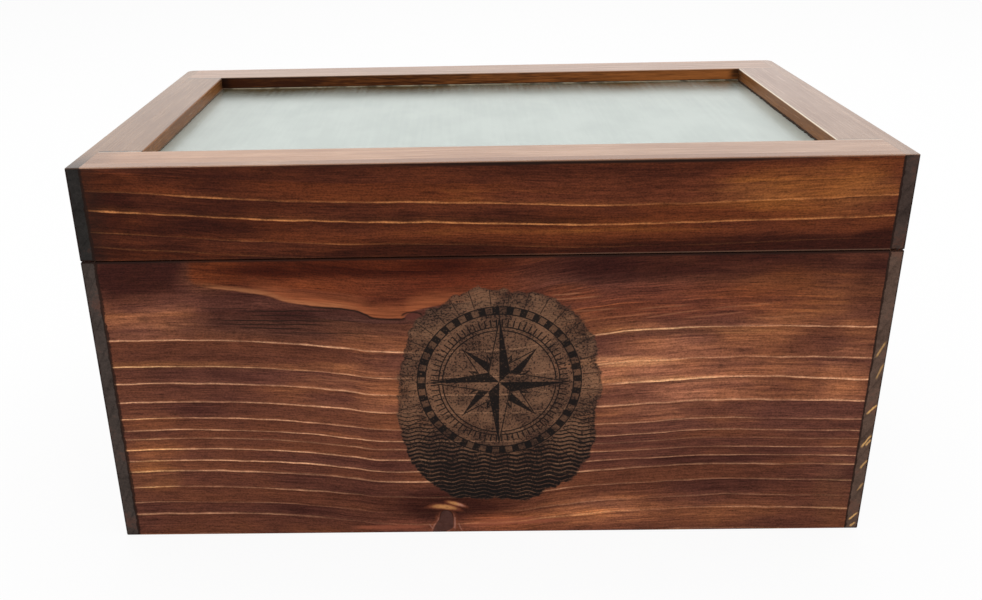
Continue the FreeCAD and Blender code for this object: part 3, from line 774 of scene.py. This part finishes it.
def foot_knot(r, colour, x, z):
    """The open knot at the foot: a leaning dark core with a thin rim, and pale strokes in a blush over it."""
    ragged = r.grain((x, 330.0), (z, 330.0), detail=4.0, roughness=0.6)
    rough = r.swing(ragged)
    from_left = r.sub(x, r.curve_in_mm(z, KNOT_LEFT))
    from_right = r.sub(r.curve_in_mm(z, KNOT_RIGHT), x)
    depth = r.add(r.least(from_left, from_right), r.mul(rough, 1.2 * MM))
    depth = r.least(depth, r.sub(KNOT_TOP * MM, z))
    colour = r.blend(strokes(r, x, z, FOOT_STREAKS, 1.7, 1.2, 1.6), colour, FOOT_STREAK)
    beside = r.mul(r.rise(depth, -3.2 * MM, -0.4 * MM), r.fall(z, 10 * MM, 15 * MM))
    colour = r.blend(r.mul(beside, r.rise(ragged, 0.3, 0.7, 0.2, 0.6)), colour, KNOT_BLUSH)
    glow_colour = r.blend(r.rise(x, -19.0 * MM, -14.5 * MM), KNOT_GLOW, KNOT_PINK)
    for middle_x, middle_z, half_x, half_z, tilt, bend in KNOT_GLOWS:
        beyond = r.sub(x, middle_x * MM)
        bent_z = r.add(z, r.mul(beyond, beyond, bend), r.mul(beyond, tilt))
        lens = r.add(oval(r, x, bent_z, middle_x, middle_z, half_x, half_z)[2], r.mul(rough, 1.6))
        colour = r.blend(r.mul(r.fall(lens, 0.6, 2.6), 0.5), colour, KNOT_BLUSH)
        lit = r.mul(r.fall(lens, 0.0, 1.3), r.rise(ragged, 0.3, 0.6, 0.55, 0.95))
        colour = r.blend(lit, colour, glow_colour)
    colour = r.blend(strokes(r, x, z, KNOT_CRACKS, 0.6, 0.5, 2.4), colour, KNOT_RIM)
    rim = r.mul(r.band(depth, -1.1 * MM, -0.5 * MM, -0.3 * MM, 0.2 * MM), r.fall(z, 9 * MM, 13 * MM))
    colour = r.blend(r.mul(rim, r.rise(ragged, 0.38, 0.6, 0.05, 0.7)), colour, KNOT_RIM)
    burnt_lip = r.mul(r.fall(depth, 0.2 * MM, 1.1 * MM), r.rise(z, 6 * MM, 12 * MM))
    core = r.blend(r.most(burnt_lip, r.rise(ragged, 0.4, 0.7, 0.0, 0.4)), KNOT_CORE, CHARRED)
    return r.blend(r.mul(r.rise(depth, -0.2 * MM, 0.5 * MM), 0.92), colour, core)


# Whole materials, with sizes in metres again

LEFT_CHAR = 1.5 * MM
RIGHT_CHAR = 0.5 * MM


def varnish(r, top):
    """A satin coat on the top of the lid's boards, like that of the frame."""
    r.shade(Coat_Weight=r.mul(top, 0.6), Coat_Roughness=0.28, Coat_IOR=1.4)


def burnt_ends(r, x):
    """How far the char creeps in from the ends of a front board: more at the left than at the right."""
    return r.rise(x, -100 * MM, 100 * MM, LEFT_CHAR, RIGHT_CHAR)


def front_inside(r, y):
    """The inner face of a front board."""
    return r.rise(y, BOARD_INNER_Y - 0.6 * MM, BOARD_INNER_Y - 0.1 * MM)


def lid_top_edge(r, z):
    """The top edge of one of the lid's boards."""
    return r.rise(z, LID_TOP - 0.7 * MM, LID_TOP - 0.25 * MM)


def front_board_material():
    """The body's front board, with its flame figure, two knots and the print."""
    r = new_material("burnt pine front")
    x, y, z = r.split(r.place())
    drawn = drawn_rings(r, x, z, BODY_RINGS, BODY_RING_STRENGTHS, BODY_SAG, BODY_RIGHT_DIP)
    rings, height = hushed(r, x, z, drawn, RING_HUSH)
    inside = front_inside(r, y)
    light = soft_spots(r, x, z, BODY_SPOTS)
    streaks = r.add(0.6, light, soft_spots(r, x, z, STREAKY_PLACES))
    near = board_distances(r, "front_board")
    base, fibrous = finish_board(r, near["X"], rings, (x, height, y), light, BODY_STAIN, 0.0, inside,
                                 burnt_ends(r, x), streaks, 1.6)
    colour = tinted(r, base, x, z, fibrous, BODY_TINTS)
    colour = flame_figure(r, colour, x, z, fibrous)
    colour = small_knot(r, colour, x, z)
    colour = foot_knot(r, colour, x, z)
    # Painted shade: the top of the front face darkens just under the seam with the lid.
    painted_seam_shade = r.rise(z, BODY_TOP - 1.5 * MM, BODY_TOP - 0.4 * MM)
    colour = r.blend(r.mul(painted_seam_shade, 0.85), colour, CHARRED)
    ground, ink, shading = wind_rose(r, x, z)
    paper = r.blend(shading, PRINT_GROUND, PRINT_SHADE)
    colour = r.blend(r.mul(ground, 0.75), colour, paper)
    colour = r.blend(r.mul(ink, 0.95), colour, PRINT_INK)
    r.shade(Base_Color=r.blend(inside, colour, base))
    return r.material


def lid_front_material():
    """The lid's front board, with long bright rings, a plain top edge like the frame's and a painted
    highlight along its foot.
    """
    r = new_material("burnt pine lid front")
    x, y, z = r.split(r.place())
    drawn = drawn_rings(r, x, z, LID_RINGS, LID_RING_STRENGTHS, LID_SAG)
    rings, height = hushed(r, x, z, drawn, LID_HUSH)
    top = lid_top_edge(r, z)
    plain = r.most(top, front_inside(r, y))
    burnt = r.flip(plain)
    light = soft_spots(r, x, z, LID_SPOTS)
    near = board_distances(r, "lid_front_board")
    colour, _ = finish_board(r, near["X"], rings, (x, height, y), light, LID_STAIN, 0.0, plain,
                             burnt_ends(r, x), 0.45, 1.7)
    rim_reach = r.mul(r.rise(x, -120 * MM, 20 * MM, 0.15, 0.95), r.fall(x, 90 * MM, 180 * MM))
    burnt_rim = r.mul(r.rise(z, LID_TOP - 2.8 * MM, LID_TOP - 1.4 * MM), rim_reach, burnt)
    colour = r.blend(burnt_rim, colour, CHARRED)
    drift = r.grain((x, 60.0), (z, 110.0), detail=3.0)
    from_left = r.add(x, OPENING_X, r.swing(drift, 16 * MM))
    smoke = r.mul(r.fall(from_left, -23 * MM, -8 * MM), burnt, 0.6)
    colour = r.blend(smoke, colour, CHARRED)
    # Painted highlight: a pale line along the bottom edge of the front face, stronger towards the right.
    foot_highlight = r.mul(r.fall(near["Z"], 0.5 * MM, 1.0 * MM), burnt, r.rise(x, -20 * MM, 60 * MM, 0.02, 0.22))
    r.shade(Base_Color=r.blend(foot_highlight, colour, FOOT_HIGHLIGHT))
    varnish(r, top)
    return r.material


# Scratches on the end grain of the right board, in mm
SCRATCHES = (
    (194.7, 103.1, 198.5, 112.4, 0.6), (196.5, 91.2, 199.4, 100.1, 0.5), (194.7, 70.5, 199.7, 76.6, 1.0),
    (194.8, 50.9, 199.1, 58.5, 1.0), (196.8, 52.0, 199.3, 55.5, 0.8), (196.0, 38.0, 199.2, 43.2, 0.7),
    (196.2, 24.0, 199.2, 29.0, 0.5), (194.5, 5.4, 198.8, 10.8, 1.0), (195.6, 1.5, 198.4, 4.0, 0.8),
)


def lie_of(r, piece):
    """How a board or rail lies: its box, whether it runs from front to back, and the way along it, across it
    and up."""
    low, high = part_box(piece)
    x, y, z = r.split(r.place())
    crosswise = high.x - low.x < high.y - low.y
    along, across = (y, x) if crosswise else (x, y)
    return low, high, crosswise, along, across, z


def side_board_material(piece, stain, ends, spacing, lean, seed, scorch=0.0, top_sheen_tint=WHITE):
    """A side or back board: burnt outside, plain inside and on the lid's top, dark at its ends."""
    r = new_material("burnt pine " + piece.replace("_", " "))
    low, high, crosswise, along, through, z = lie_of(r, piece)
    faces = (low.x, high.x) if crosswise else (low.y, high.y)
    thickness = faces[1] - faces[0]
    outward = math.copysign(1.0, sum(faces))
    outside = max(faces, key=abs)
    inside = r.rise(r.mul(r.sub(outside, through), outward), thickness - 0.7 * MM, thickness - 0.2 * MM)
    rings = grown_rings(r, along, z, r.mul(r.sub(through, outside), outward), spacing, lean, seed)
    near = board_distances(r, piece)
    end = r.fall(near["Y" if crosswise else "X"], 0.25 * MM, 0.7 * MM)
    plain = inside
    top = 0.0
    if high.z > LID_TOP - MM:
        top = lid_top_edge(r, z)
        plain = r.most(inside, top)
        end = r.mul(end, r.flip(top))
        varnish(r, top)
    plain = r.mul(plain, r.flip(end))
    patches = r.noise(r.vector(r.add(r.mul(along, 7.0), seed), r.mul(z, 16.0)), detail=2.0)
    light = r.swing(patches, 0.9)
    stain = {**stain, "End Grain": ends}
    colour, _ = finish_board(r, near["Edge"], rings, (along, z, through), light, stain, end, plain,
                             CHAR_REACH, 0.7, 1.5)
    if scorch:
        burn = r.mul(r.fall(r.add(along, r.swing(patches, 20 * MM)), -126 * MM, -90 * MM), top, scorch)
        # Painted sheen: the top is tinted by the side the board is on.
        colour = r.blend(top, colour, top_sheen_tint, "MULTIPLY")
        r.shade(Base_Color=r.blend(burn, colour, CHARRED))
    if piece == "right_board":
        marks = r.mul(strokes(r, through, z, SCRATCHES, 0.75, 1.1, 1.5), end)
        r.shade(Base_Color=r.blend(marks, colour, SCRATCH))
    return r.material


def rail_material(piece, spacing, seed, arris_paleness, joint, side, drift, tints):
    """A rail of the lid's frame: stained and varnished, with a near-white line along its inner top edge,
    painted shade in the inner corners and dark joints or ends.
    """
    r = new_material("stained pine " + piece.replace("_", " "))
    low, high, crosswise, along, across, z = lie_of(r, piece)
    fibre, rings = wood_grain(r, along, across, z, grown_rings(r, along, across, z, spacing, 0.6, seed))
    streak, mottle, fleck = (r.swing(fibre[name]) for name in ("Streak", "Mottle", "Fleck"))
    share = r.add(0.38, streak, r.mul(mottle, 0.7), r.mul(fleck, 0.4), r.mul(rings["Glow"], 0.22))
    top = r.rise(z, LID_TOP - 0.35 * MM, LID_TOP - 0.1 * MM)
    below = r.flip(top)
    light_face = r.blend(r.rise(share, 0.0, 1.0), PLAIN_STAIN["Plain Dark"], PLAIN_STAIN["Plain Light"])
    start, end = (low.y, high.y) if crosswise else (low.x, high.x)
    light_face = r.blend(1.0, light_face, r.blend(r.rise(along, start, end), *tints), "MULTIPLY")
    side_share = r.add(0.40, r.mul(streak, 0.6), r.mul(mottle, 0.5), r.mul(fleck, 0.9), r.mul(along, drift))
    dark_face = r.blend(r.rise(side_share, 0.0, 1.0), *side)
    colour = r.blend(top, dark_face, light_face)
    inner = r.sub(r.calc("ABSOLUTE", across), OPENING_X if crosswise else OPENING_Y)
    # A near-white line along the inner top edge, faint or strong from rail to rail.
    arris = r.mul(r.fall(inner, 0.4 * MM, 0.9 * MM), r.rise(z, LID_TOP - 0.6 * MM, LID_TOP - 0.3 * MM))
    colour = r.blend(r.mul(arris, arris_paleness), colour, PALE_ARRIS_LINE)
    if crosswise:
        # Painted shade: the side faces darken towards the back corners of the opening.
        corner_shade = r.mul(r.rise(along, OPENING_Y - 16 * MM, OPENING_Y - 2 * MM), below, 0.6)
        colour = r.blend(corner_shade, colour, CHARRED)
        gap = r.fall(board_distances(r, piece)["Y"], 1.0 * MM, 2.4 * MM)
        broken = r.noise(r.vector(r.mul(across, 160.0), seed), detail=2.0)
        colour = r.blend(r.mul(gap, r.rise(broken, 0.35, 0.6, 0.45, 1.0), joint), colour, CHARRED)
    else:
        blotch = r.rise(r.add(mottle, streak), -0.1, 0.2, 0.3, 1.0)
        lip = r.mul(r.rise(z, LID_TOP - 2.2 * MM, LID_TOP - 0.7 * MM), 0.6)
        # Painted shade: the inner face darkens into the corners at its ends, mixed with a dark band just
        # under the top.
        corner_shade = r.mul(r.rise(r.calc("ABSOLUTE", along), OPENING_X - 8 * MM, OPENING_X - 2 * MM), 0.9)
        colour = r.blend(r.mul(r.most(lip, corner_shade), blotch, below), colour, CHARRED)
        licked = r.add(along, r.mul(mottle, 14 * MM), r.mul(r.sub(across, low.y), -0.25))
        colour = r.blend(r.mul(r.fall(licked, low.x, low.x + 13 * MM), joint), colour, CHARRED)
    r.shade(Base_Color=colour, Roughness=r.add(0.26, r.mul(streak, 0.2)), Specular_IOR_Level=BOARD_SHINE)
    varnish(r, top)
    bump(r, r.add(fibre["Streak"], r.mul(fibre["Fleck"], 0.3)), RAIL_RELIEF)
    return r.material


def glass_material():
    """Frosted glass: pale green-white, satin, with faint streaks, and painted reflection and shade of the
    rails that darken its top face along its back and sides and a little towards the back.
    """
    r = new_material("frosted glass")
    x, y, z = r.split(r.place())
    cloud = r.grain((x, 30.0), (y, 18.0), detail=3.0)
    streak = r.grain((x, 420.0), (y, 12.0), detail=3.0)
    mixed = r.add(cloud, r.swing(streak, 0.3))
    colour = r.blend(r.rise(mixed, 0.3, 0.7), GLASS_DULL, GLASS_PALE)
    to_back = r.sub(OPENING_Y, y)
    to_left = r.add(OPENING_X, x)
    to_right = r.sub(OPENING_X, x)
    # Painted reflection and shade: the top face darkens strongly by the back rail, less by the left and right
    # rails, and a little over the back 150 mm.
    broad = r.noise(r.vector(r.mul(x, 17.0), 0.3), detail=2.0)
    uneven_painted_shade = r.add(r.rise(broad, 0.25, 0.75, 0.8, 1.15), r.swing(streak, 0.7))
    uneven_painted_shade = r.mul(uneven_painted_shade, r.rise(to_left, 0.0, 60 * MM, 0.78, 1.0))
    back_painted_shade = r.mul(r.calc("POWER", r.fall(to_back, -6.0 * MM, 58 * MM), 1.4), uneven_painted_shade)
    left_painted_shade = r.mul(r.fall(to_left, -8.0 * MM, 60 * MM), 0.2)
    right_painted_shade = r.mul(r.fall(to_right, -8.0 * MM, 36 * MM), 0.14)
    painted_back_dimming = r.mul(r.fall(to_back, 0.0, 150 * MM), 0.05)
    upper = r.rise(z, GLASS_TOP - 1.0 * MM, GLASS_TOP - 0.5 * MM)
    painted_shade = r.mul(r.add(back_painted_shade, left_painted_shade, right_painted_shade, painted_back_dimming), upper)
    etched = r.grain((x, 1400.0), (y, 1400.0), detail=2.0)
    rough = r.add(0.20, r.swing(cloud, 0.1), r.swing(etched, 0.1))
    r.shade(Base_Color=r.blend(painted_shade, colour, GLASS_PAINTED_SHADE), Roughness=rough)
    r.shade(Metallic=0.0, Transmission_Weight=0.25, IOR=1.5)
    bump(r, r.add(etched, r.mul(streak, 0.8)), 0.03 * MM)
    return r.material


def bare_wood_material(name, grain_axis, tones, relief):
    """Bare wood of the beads and the bottom panel, with grain along one axis."""
    r = new_material(name)
    x, y, z = r.split(r.place())
    along, across = (x, y) if grain_axis == "X" else (y, x)
    fibre, rings = wood_grain(r, along, across, z, grown_rings(r, along, across, z, 11 * MM, 0.8, 3.0))
    grown = r.mul(rings["Shade"], -0.35)
    share = r.add(0.5, r.swing(fibre["Streak"], 0.9), r.swing(fibre["Mottle"], 0.6), grown)
    rough = r.add(0.6, r.swing(fibre["Fleck"], 0.3))
    r.shade(Base_Color=r.blend(r.rise(share, 0.0, 1.0), *tones), Roughness=rough, Specular_IOR_Level=0.35)
    bump(r, r.add(fibre["Streak"], r.mul(fibre["Fleck"], 0.4)), relief)
    return r.material


def metal_material(name, bright, dull, rough):
    """Worn metal with tarnish in patches and fine scratches."""
    r = new_material(name)
    place = r.place()
    x, y, z = r.split(place)
    tarnish = r.noise(place, scale=130.0, detail=3.0, roughness=0.55)
    scratch = r.grain((x, 300.0), (y, 4000.0), (z, 4000.0), detail=2.0)
    share = r.rise(r.add(tarnish, r.swing(scratch, 0.2)), 0.3, 0.75)
    worn = r.add(rough, r.mul(share, 0.2), r.swing(scratch, 0.12))
    r.shade(Base_Color=r.blend(share, bright, dull), Roughness=worn, Metallic=1.0)
    bump(r, scratch, 0.006 * MM)
    return r.material


def sealant_material():
    """Dark sealant with dried glue along the back and a paler, cleaner line at the left."""
    r = new_material("sealant")
    place = r.place()
    patch = r.noise(place, scale=120.0, detail=3.0)
    grain = r.noise(place, scale=1500.0, detail=2.0)
    x, y, z = r.split(place)
    pale = r.mul(r.rise(patch, 0.36, 0.56, 0.25, 1.0), r.rise(y, OPENING_Y - 4 * MM, OPENING_Y - 1 * MM),
                 r.fall(z, GLASS_TOP + 0.3 * MM, GLASS_TOP + 0.6 * MM))
    colour = r.blend(r.mul(pale, 0.85), SEALANT_DARK, DRIED_GLUE)
    clean = r.fall(r.add(x, OPENING_X), 1 * MM, 4 * MM)
    colour = r.blend(r.mul(clean, 0.75), colour, SEALANT_CLEAN)
    r.shade(Base_Color=colour, Roughness=r.add(0.6, r.swing(grain, 0.3)), Specular_IOR_Level=0.1)
    bump(r, grain, 0.1 * MM)
    return r.material


def dress(piece, material):
    """Gives a piece its material through its object's own slots."""
    part = nodes[piece]
    if not part.material_slots:
        part.data.materials.append(None)
    for place in part.material_slots:
        place.link = "OBJECT"
        place.material = material


# Tints of the rails and of the lid's top edges. Those of the left and right sides are painted sheen: darker
# on the left, cooler and greyer on the right.

LEFT_PAINTED_SHEEN_TINT = (0.71, 0.72, 0.68, 1.0)
RIGHT_EDGE_PAINTED_SHEEN_TINT = (0.92, 1.02, 1.12, 1.0)
FRONT_RAIL_TINTS = ((1.11, 1.03, 0.91, 1.0), (1.07, 1.10, 1.11, 1.0))
BACK_RAIL_TINTS = ((0.96, 0.98, 1.0, 1.0), (0.98, 1.03, 1.09, 1.0))
RIGHT_RAIL_PAINTED_SHEEN_TINTS = ((0.88, 0.98, 1.08, 1.0), (0.98, 1.12, 1.30, 1.0))

dress("front_board", front_board_material())
dress("lid_front_board", lid_front_material())

# Side and back boards: stain, end grain, ring spacing and lean, seed, and scorch and painted sheen tint of
# the top

SIDE_BOARDS = (
    ("left_board", BODY_STAIN, tone(73, 63, 58), 13 * MM, 1.8, 2.3),
    ("right_board", BODY_STAIN, tone(98, 77, 66), 17 * MM, -1.8, 5.6),
    ("back_board", BODY_STAIN, tone(73, 63, 58), 12 * MM, 0.9, 8.1),
    ("lid_left_board", LID_STAIN, tone(46, 43, 41), 15 * MM, 1.2, 11.4, 0.85, LEFT_PAINTED_SHEEN_TINT),
    ("lid_right_board", LID_STAIN, tone(72, 58, 52), 14 * MM, -1.2, 14.9, 0.15, RIGHT_EDGE_PAINTED_SHEEN_TINT),
    ("lid_back_board", LID_STAIN, tone(53, 47, 43), 13 * MM, 0.9, 17.2),
)
for board in SIDE_BOARDS:
    dress(board[0], side_board_material(*board))

# Rails: ring spacing, seed, paleness of the arris line, darkness of the joint, side colours, their drift, and
# tints, which on the left and right rails are painted sheen

RAILS = (
    ("lid_front_rail", 6 * MM, 1.7, 0.6, 0.25, RAIL_BACK, 0.0, FRONT_RAIL_TINTS),
    ("lid_back_rail", 7 * MM, 4.2, 0.15, 0.0, RAIL_BACK, 2.4, BACK_RAIL_TINTS),
    ("lid_left_rail", 8 * MM, 6.9, 0.0, 0.9, RAIL_SIDE, 0.0, (LEFT_PAINTED_SHEEN_TINT, LEFT_PAINTED_SHEEN_TINT)),
    ("lid_right_rail", 6 * MM, 9.1, 0.9, 0.35, RAIL_SIDE, 0.0, RIGHT_RAIL_PAINTED_SHEEN_TINTS),
)
for rail in RAILS:
    dress(rail[0], rail_material(*rail))
dress("glass_pane", glass_material())
sealant = sealant_material()
dress("glass_sealant", sealant)
for side, axis in (("front", "X"), ("back", "X"), ("left", "Y"), ("right", "Y")):
    dress(side + "_glazing_bead", bare_wood_material("bead pine " + side, axis, BEAD_WOOD, 0.1 * MM))
dress("bottom_panel", bare_wood_material("plywood", "X", PLYWOOD, 0.08 * MM))
brass = metal_material("brass", tone(206, 164, 92), tone(128, 94, 50), 0.28)
for side in ("left", "right"):
    for part in ("body_leaf", "lid_leaf", "pin"):
        dress(f"{side}_hinge_{part}", brass)
screw_brass = metal_material("screw brass", tone(176, 136, 78), tone(100, 74, 42), 0.34)
for screws in ("hinge_body_screws", "hinge_lid_screws"):
    dress(screws, screw_brass)
steel = metal_material("brad steel", tone(150, 148, 144), tone(82, 78, 74), 0.4)
for brads in ("body_corner_brads", "bottom_panel_brads", "lid_corner_brads", "glazing_bead_brads"):
    dress(brads, steel)


# Sealant that squeezed out along the glass when the pane was pressed in

SQUEEZE_STEP = 0.8 * MM
SQUEEZE_SEED = 41
SQUEEZE_WIDTHS = (0.12 * MM, 1.5 * MM)
SQUEEZE_HEIGHTS = (0.70 * MM, 1.1 * MM)
SQUEEZE_TUCK = 0.4 * MM
SQUEEZE_SKIN = 0.03 * MM
SQUEEZE_FOOT = 0.02 * MM
SQUEEZE_NECK = 0.58 * MM
RIGHT_SHARE = 0.8
LEFT_SHARE = 0.3
USUAL_SHARE = 0.5


def wander_along(count, low, high, smoothing, dice):
    """A closed row of sizes that change gently from one station to the next."""
    row = [dice.random() for _ in range(count)]
    for _ in range(smoothing):
        row = [(row[i - 1] + 2 * row[i] + row[(i + 1) % count]) / 4 for i in range(count)]
    least, most = min(row), max(row)
    return [low + (high - low) * (value - least) / (most - least) for value in row]


def thickness_at(point):
    """More came out at the right and least at the left."""
    if point.x > OPENING_X - SQUEEZE_STEP:
        return RIGHT_SHARE
    return LEFT_SHARE if point.x < SQUEEZE_STEP - OPENING_X else USUAL_SHARE


def squeeze_out():
    """An irregular bead in the corner between rails and glass, all round the opening."""
    dice = random.Random(SQUEEZE_SEED)
    corners = ((-1, -1), (1, -1), (1, 1), (-1, 1))
    stations = []
    for i, (sx, sy) in enumerate(corners):
        ex, ey = corners[(i + 1) % len(corners)]
        start = Vector((sx * OPENING_X, sy * OPENING_Y, 0.0))
        end = Vector((ex * OPENING_X, ey * OPENING_Y, 0.0))
        steps = round((end - start).length / SQUEEZE_STEP)
        run = (end - start).normalized()
        inward = Vector((-run.y, run.x, 0.0))
        for k in range(steps):
            point = start.lerp(end, k / steps)
            stations.append((point, inward + run if k == 0 else inward))
    count = len(stations)
    widths = wander_along(count, *SQUEEZE_WIDTHS, 1, dice)
    widths = [width * thickness_at(point) for width, (point, _) in zip(widths, stations)]
    heights = wander_along(count, *SQUEEZE_HEIGHTS, 3, dice)
    mesh = bmesh.new()
    loops = []
    for (point, inward), width, height in zip(stations, widths, heights):
        section = ((-SQUEEZE_TUCK, SQUEEZE_FOOT), (width, SQUEEZE_FOOT), (0.55 * width, 0.5 * height),
                   (SQUEEZE_SKIN, height), (SQUEEZE_SKIN, SQUEEZE_NECK), (-SQUEEZE_TUCK, SQUEEZE_NECK))
        ring = [mesh.verts.new(point + inward * t + Vector((0, 0, GLASS_TOP + h))) for t, h in section]
        loops.append(ring)
    size = len(loops[0])
    for i, ring in enumerate(loops):
        following = loops[(i + 1) % count]
        for k in range(size):
            face = mesh.faces.new((ring[k], following[k], following[(k + 1) % size], ring[(k + 1) % size]))
            face.smooth = True
    bmesh.ops.recalc_face_normals(mesh, faces=mesh.faces)
    data = bpy.data.meshes.new("sealant_squeeze_out")
    mesh.to_mesh(data)
    mesh.free()
    piece = bpy.data.objects.new("sealant_squeeze_out", data)
    bpy.context.scene.collection.objects.link(piece)
    data.materials.append(sealant)
    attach(piece, "lid")


squeeze_out()


# Floor, light and camera

FLOOR_HALF = 6.0
FLOOR_WHITE = 0.92
WORLD_LEVEL = 0.55


def floor():
    """A pale, plain floor."""
    mesh = bmesh.new()
    bmesh.ops.create_grid(mesh, x_segments=1, y_segments=1, size=FLOOR_HALF)
    data = bpy.data.meshes.new("floor")
    mesh.to_mesh(data)
    mesh.free()
    piece = bpy.data.objects.new("floor", data)
    bpy.context.scene.collection.objects.link(piece)
    r = new_material("pale floor")
    x, y, z = r.split(r.place())
    grain = r.noise(r.vector(x, y), scale=4.0, detail=2.0)
    r.shade(Base_Color=r.blend(grain, *FLOOR_TONES), Roughness=0.9, Specular_IOR_Level=0.0)
    path = r.node("ShaderNodeLightPath")
    glow = r.node("ShaderNodeEmission")
    glow.inputs["Strength"].default_value = 1.0
    mixed = r.node("ShaderNodeMixShader")
    r.feed(mixed.inputs[0], r.mul(path.outputs["Is Camera Ray"], FLOOR_WHITE))
    r.tree.links.new(r.shader.outputs[0], mixed.inputs[1])
    r.tree.links.new(glow.outputs[0], mixed.inputs[2])
    r.tree.links.new(mixed.outputs[0], r.output.inputs["Surface"])
    data.materials.append(r.material)


def white_surround():
    """A world that is white to look at and lights the box evenly from all round."""
    world = bpy.data.worlds.new("white surround")
    bpy.context.scene.world = world
    world.use_nodes = True
    r = Recipe(world.node_tree)
    world.node_tree.nodes.clear()
    path = r.node("ShaderNodeLightPath")
    seen = r.most(path.outputs["Is Camera Ray"], path.outputs["Is Glossy Ray"])
    seen = r.most(seen, path.outputs["Is Transmission Ray"])
    shine = r.node("ShaderNodeBackground")
    shine.inputs["Color"].default_value = WHITE
    level = r.calc("MULTIPLY_ADD", seen, 1.0 - WORLD_LEVEL, WORLD_LEVEL)
    r.feed(shine.inputs["Strength"], level)
    output = r.node("ShaderNodeOutputWorld")
    world.node_tree.links.new(shine.outputs[0], output.inputs["Surface"])


# Lamps: place, what they point at, size and power

LAMPS = (
    ("overhead softbox", (0.2, 0.5, 1.9), (0.0, 0.0, 0.1), 2.4, 26.0),
    ("front softbox", (-0.9, -1.9, 1.3), (0.0, 0.0, 0.1), 1.6, 9.0),
)


def lamps():
    """Two soft lamps, over the box and in front of it."""
    for name, place, aim, size, power in LAMPS:
        lamp = bpy.data.lights.new(name, "AREA")
        lamp.size = size
        lamp.energy = power
        piece = bpy.data.objects.new(name, lamp)
        bpy.context.scene.collection.objects.link(piece)
        piece.location = place
        piece.rotation_euler = (Vector(aim) - Vector(place)).to_track_quat("-Z", "Y").to_euler()


# Camera, with its lens and sensor in mm

CAMERA_PLACE = (-0.0142, -0.5967, 0.3357)
CAMERA_PITCH = math.radians(23.836)
CAMERA_YAW = math.radians(1.204)
CAMERA_ROLL = math.radians(-1.269)
CAMERA_LENS = 37.90
CAMERA_SHIFT = (0.0509, 0.0204)
SENSOR_WIDTH = 36.0
NEAREST_SEEN = 0.01


def camera():
    """The photograph's own standpoint: a little above the box, close to its front."""
    level_ahead = Vector((-math.sin(CAMERA_YAW), math.cos(CAMERA_YAW), 0.0))
    level_right = Vector((math.cos(CAMERA_YAW), math.sin(CAMERA_YAW), 0.0))
    up = Vector((0.0, 0.0, 1.0))
    ahead = level_ahead * math.cos(CAMERA_PITCH) - up * math.sin(CAMERA_PITCH)
    above = level_ahead * math.sin(CAMERA_PITCH) + up * math.cos(CAMERA_PITCH)
    right = level_right * math.cos(CAMERA_ROLL) + above * math.sin(CAMERA_ROLL)
    above = above * math.cos(CAMERA_ROLL) - level_right * math.sin(CAMERA_ROLL)
    turn = Matrix((right, above, -ahead)).transposed()
    lens = bpy.data.cameras.new("camera")
    lens.lens = CAMERA_LENS
    lens.sensor_width = SENSOR_WIDTH
    lens.shift_x, lens.shift_y = CAMERA_SHIFT
    lens.clip_start = NEAREST_SEEN
    piece = bpy.data.objects.new("camera", lens)
    bpy.context.scene.collection.objects.link(piece)
    piece.matrix_world = Matrix.Translation(CAMERA_PLACE) @ turn.to_4x4()
    bpy.context.scene.camera = piece


floor()
white_surround()
lamps()
camera()
bpy.context.scene.view_settings.view_transform = "Standard"
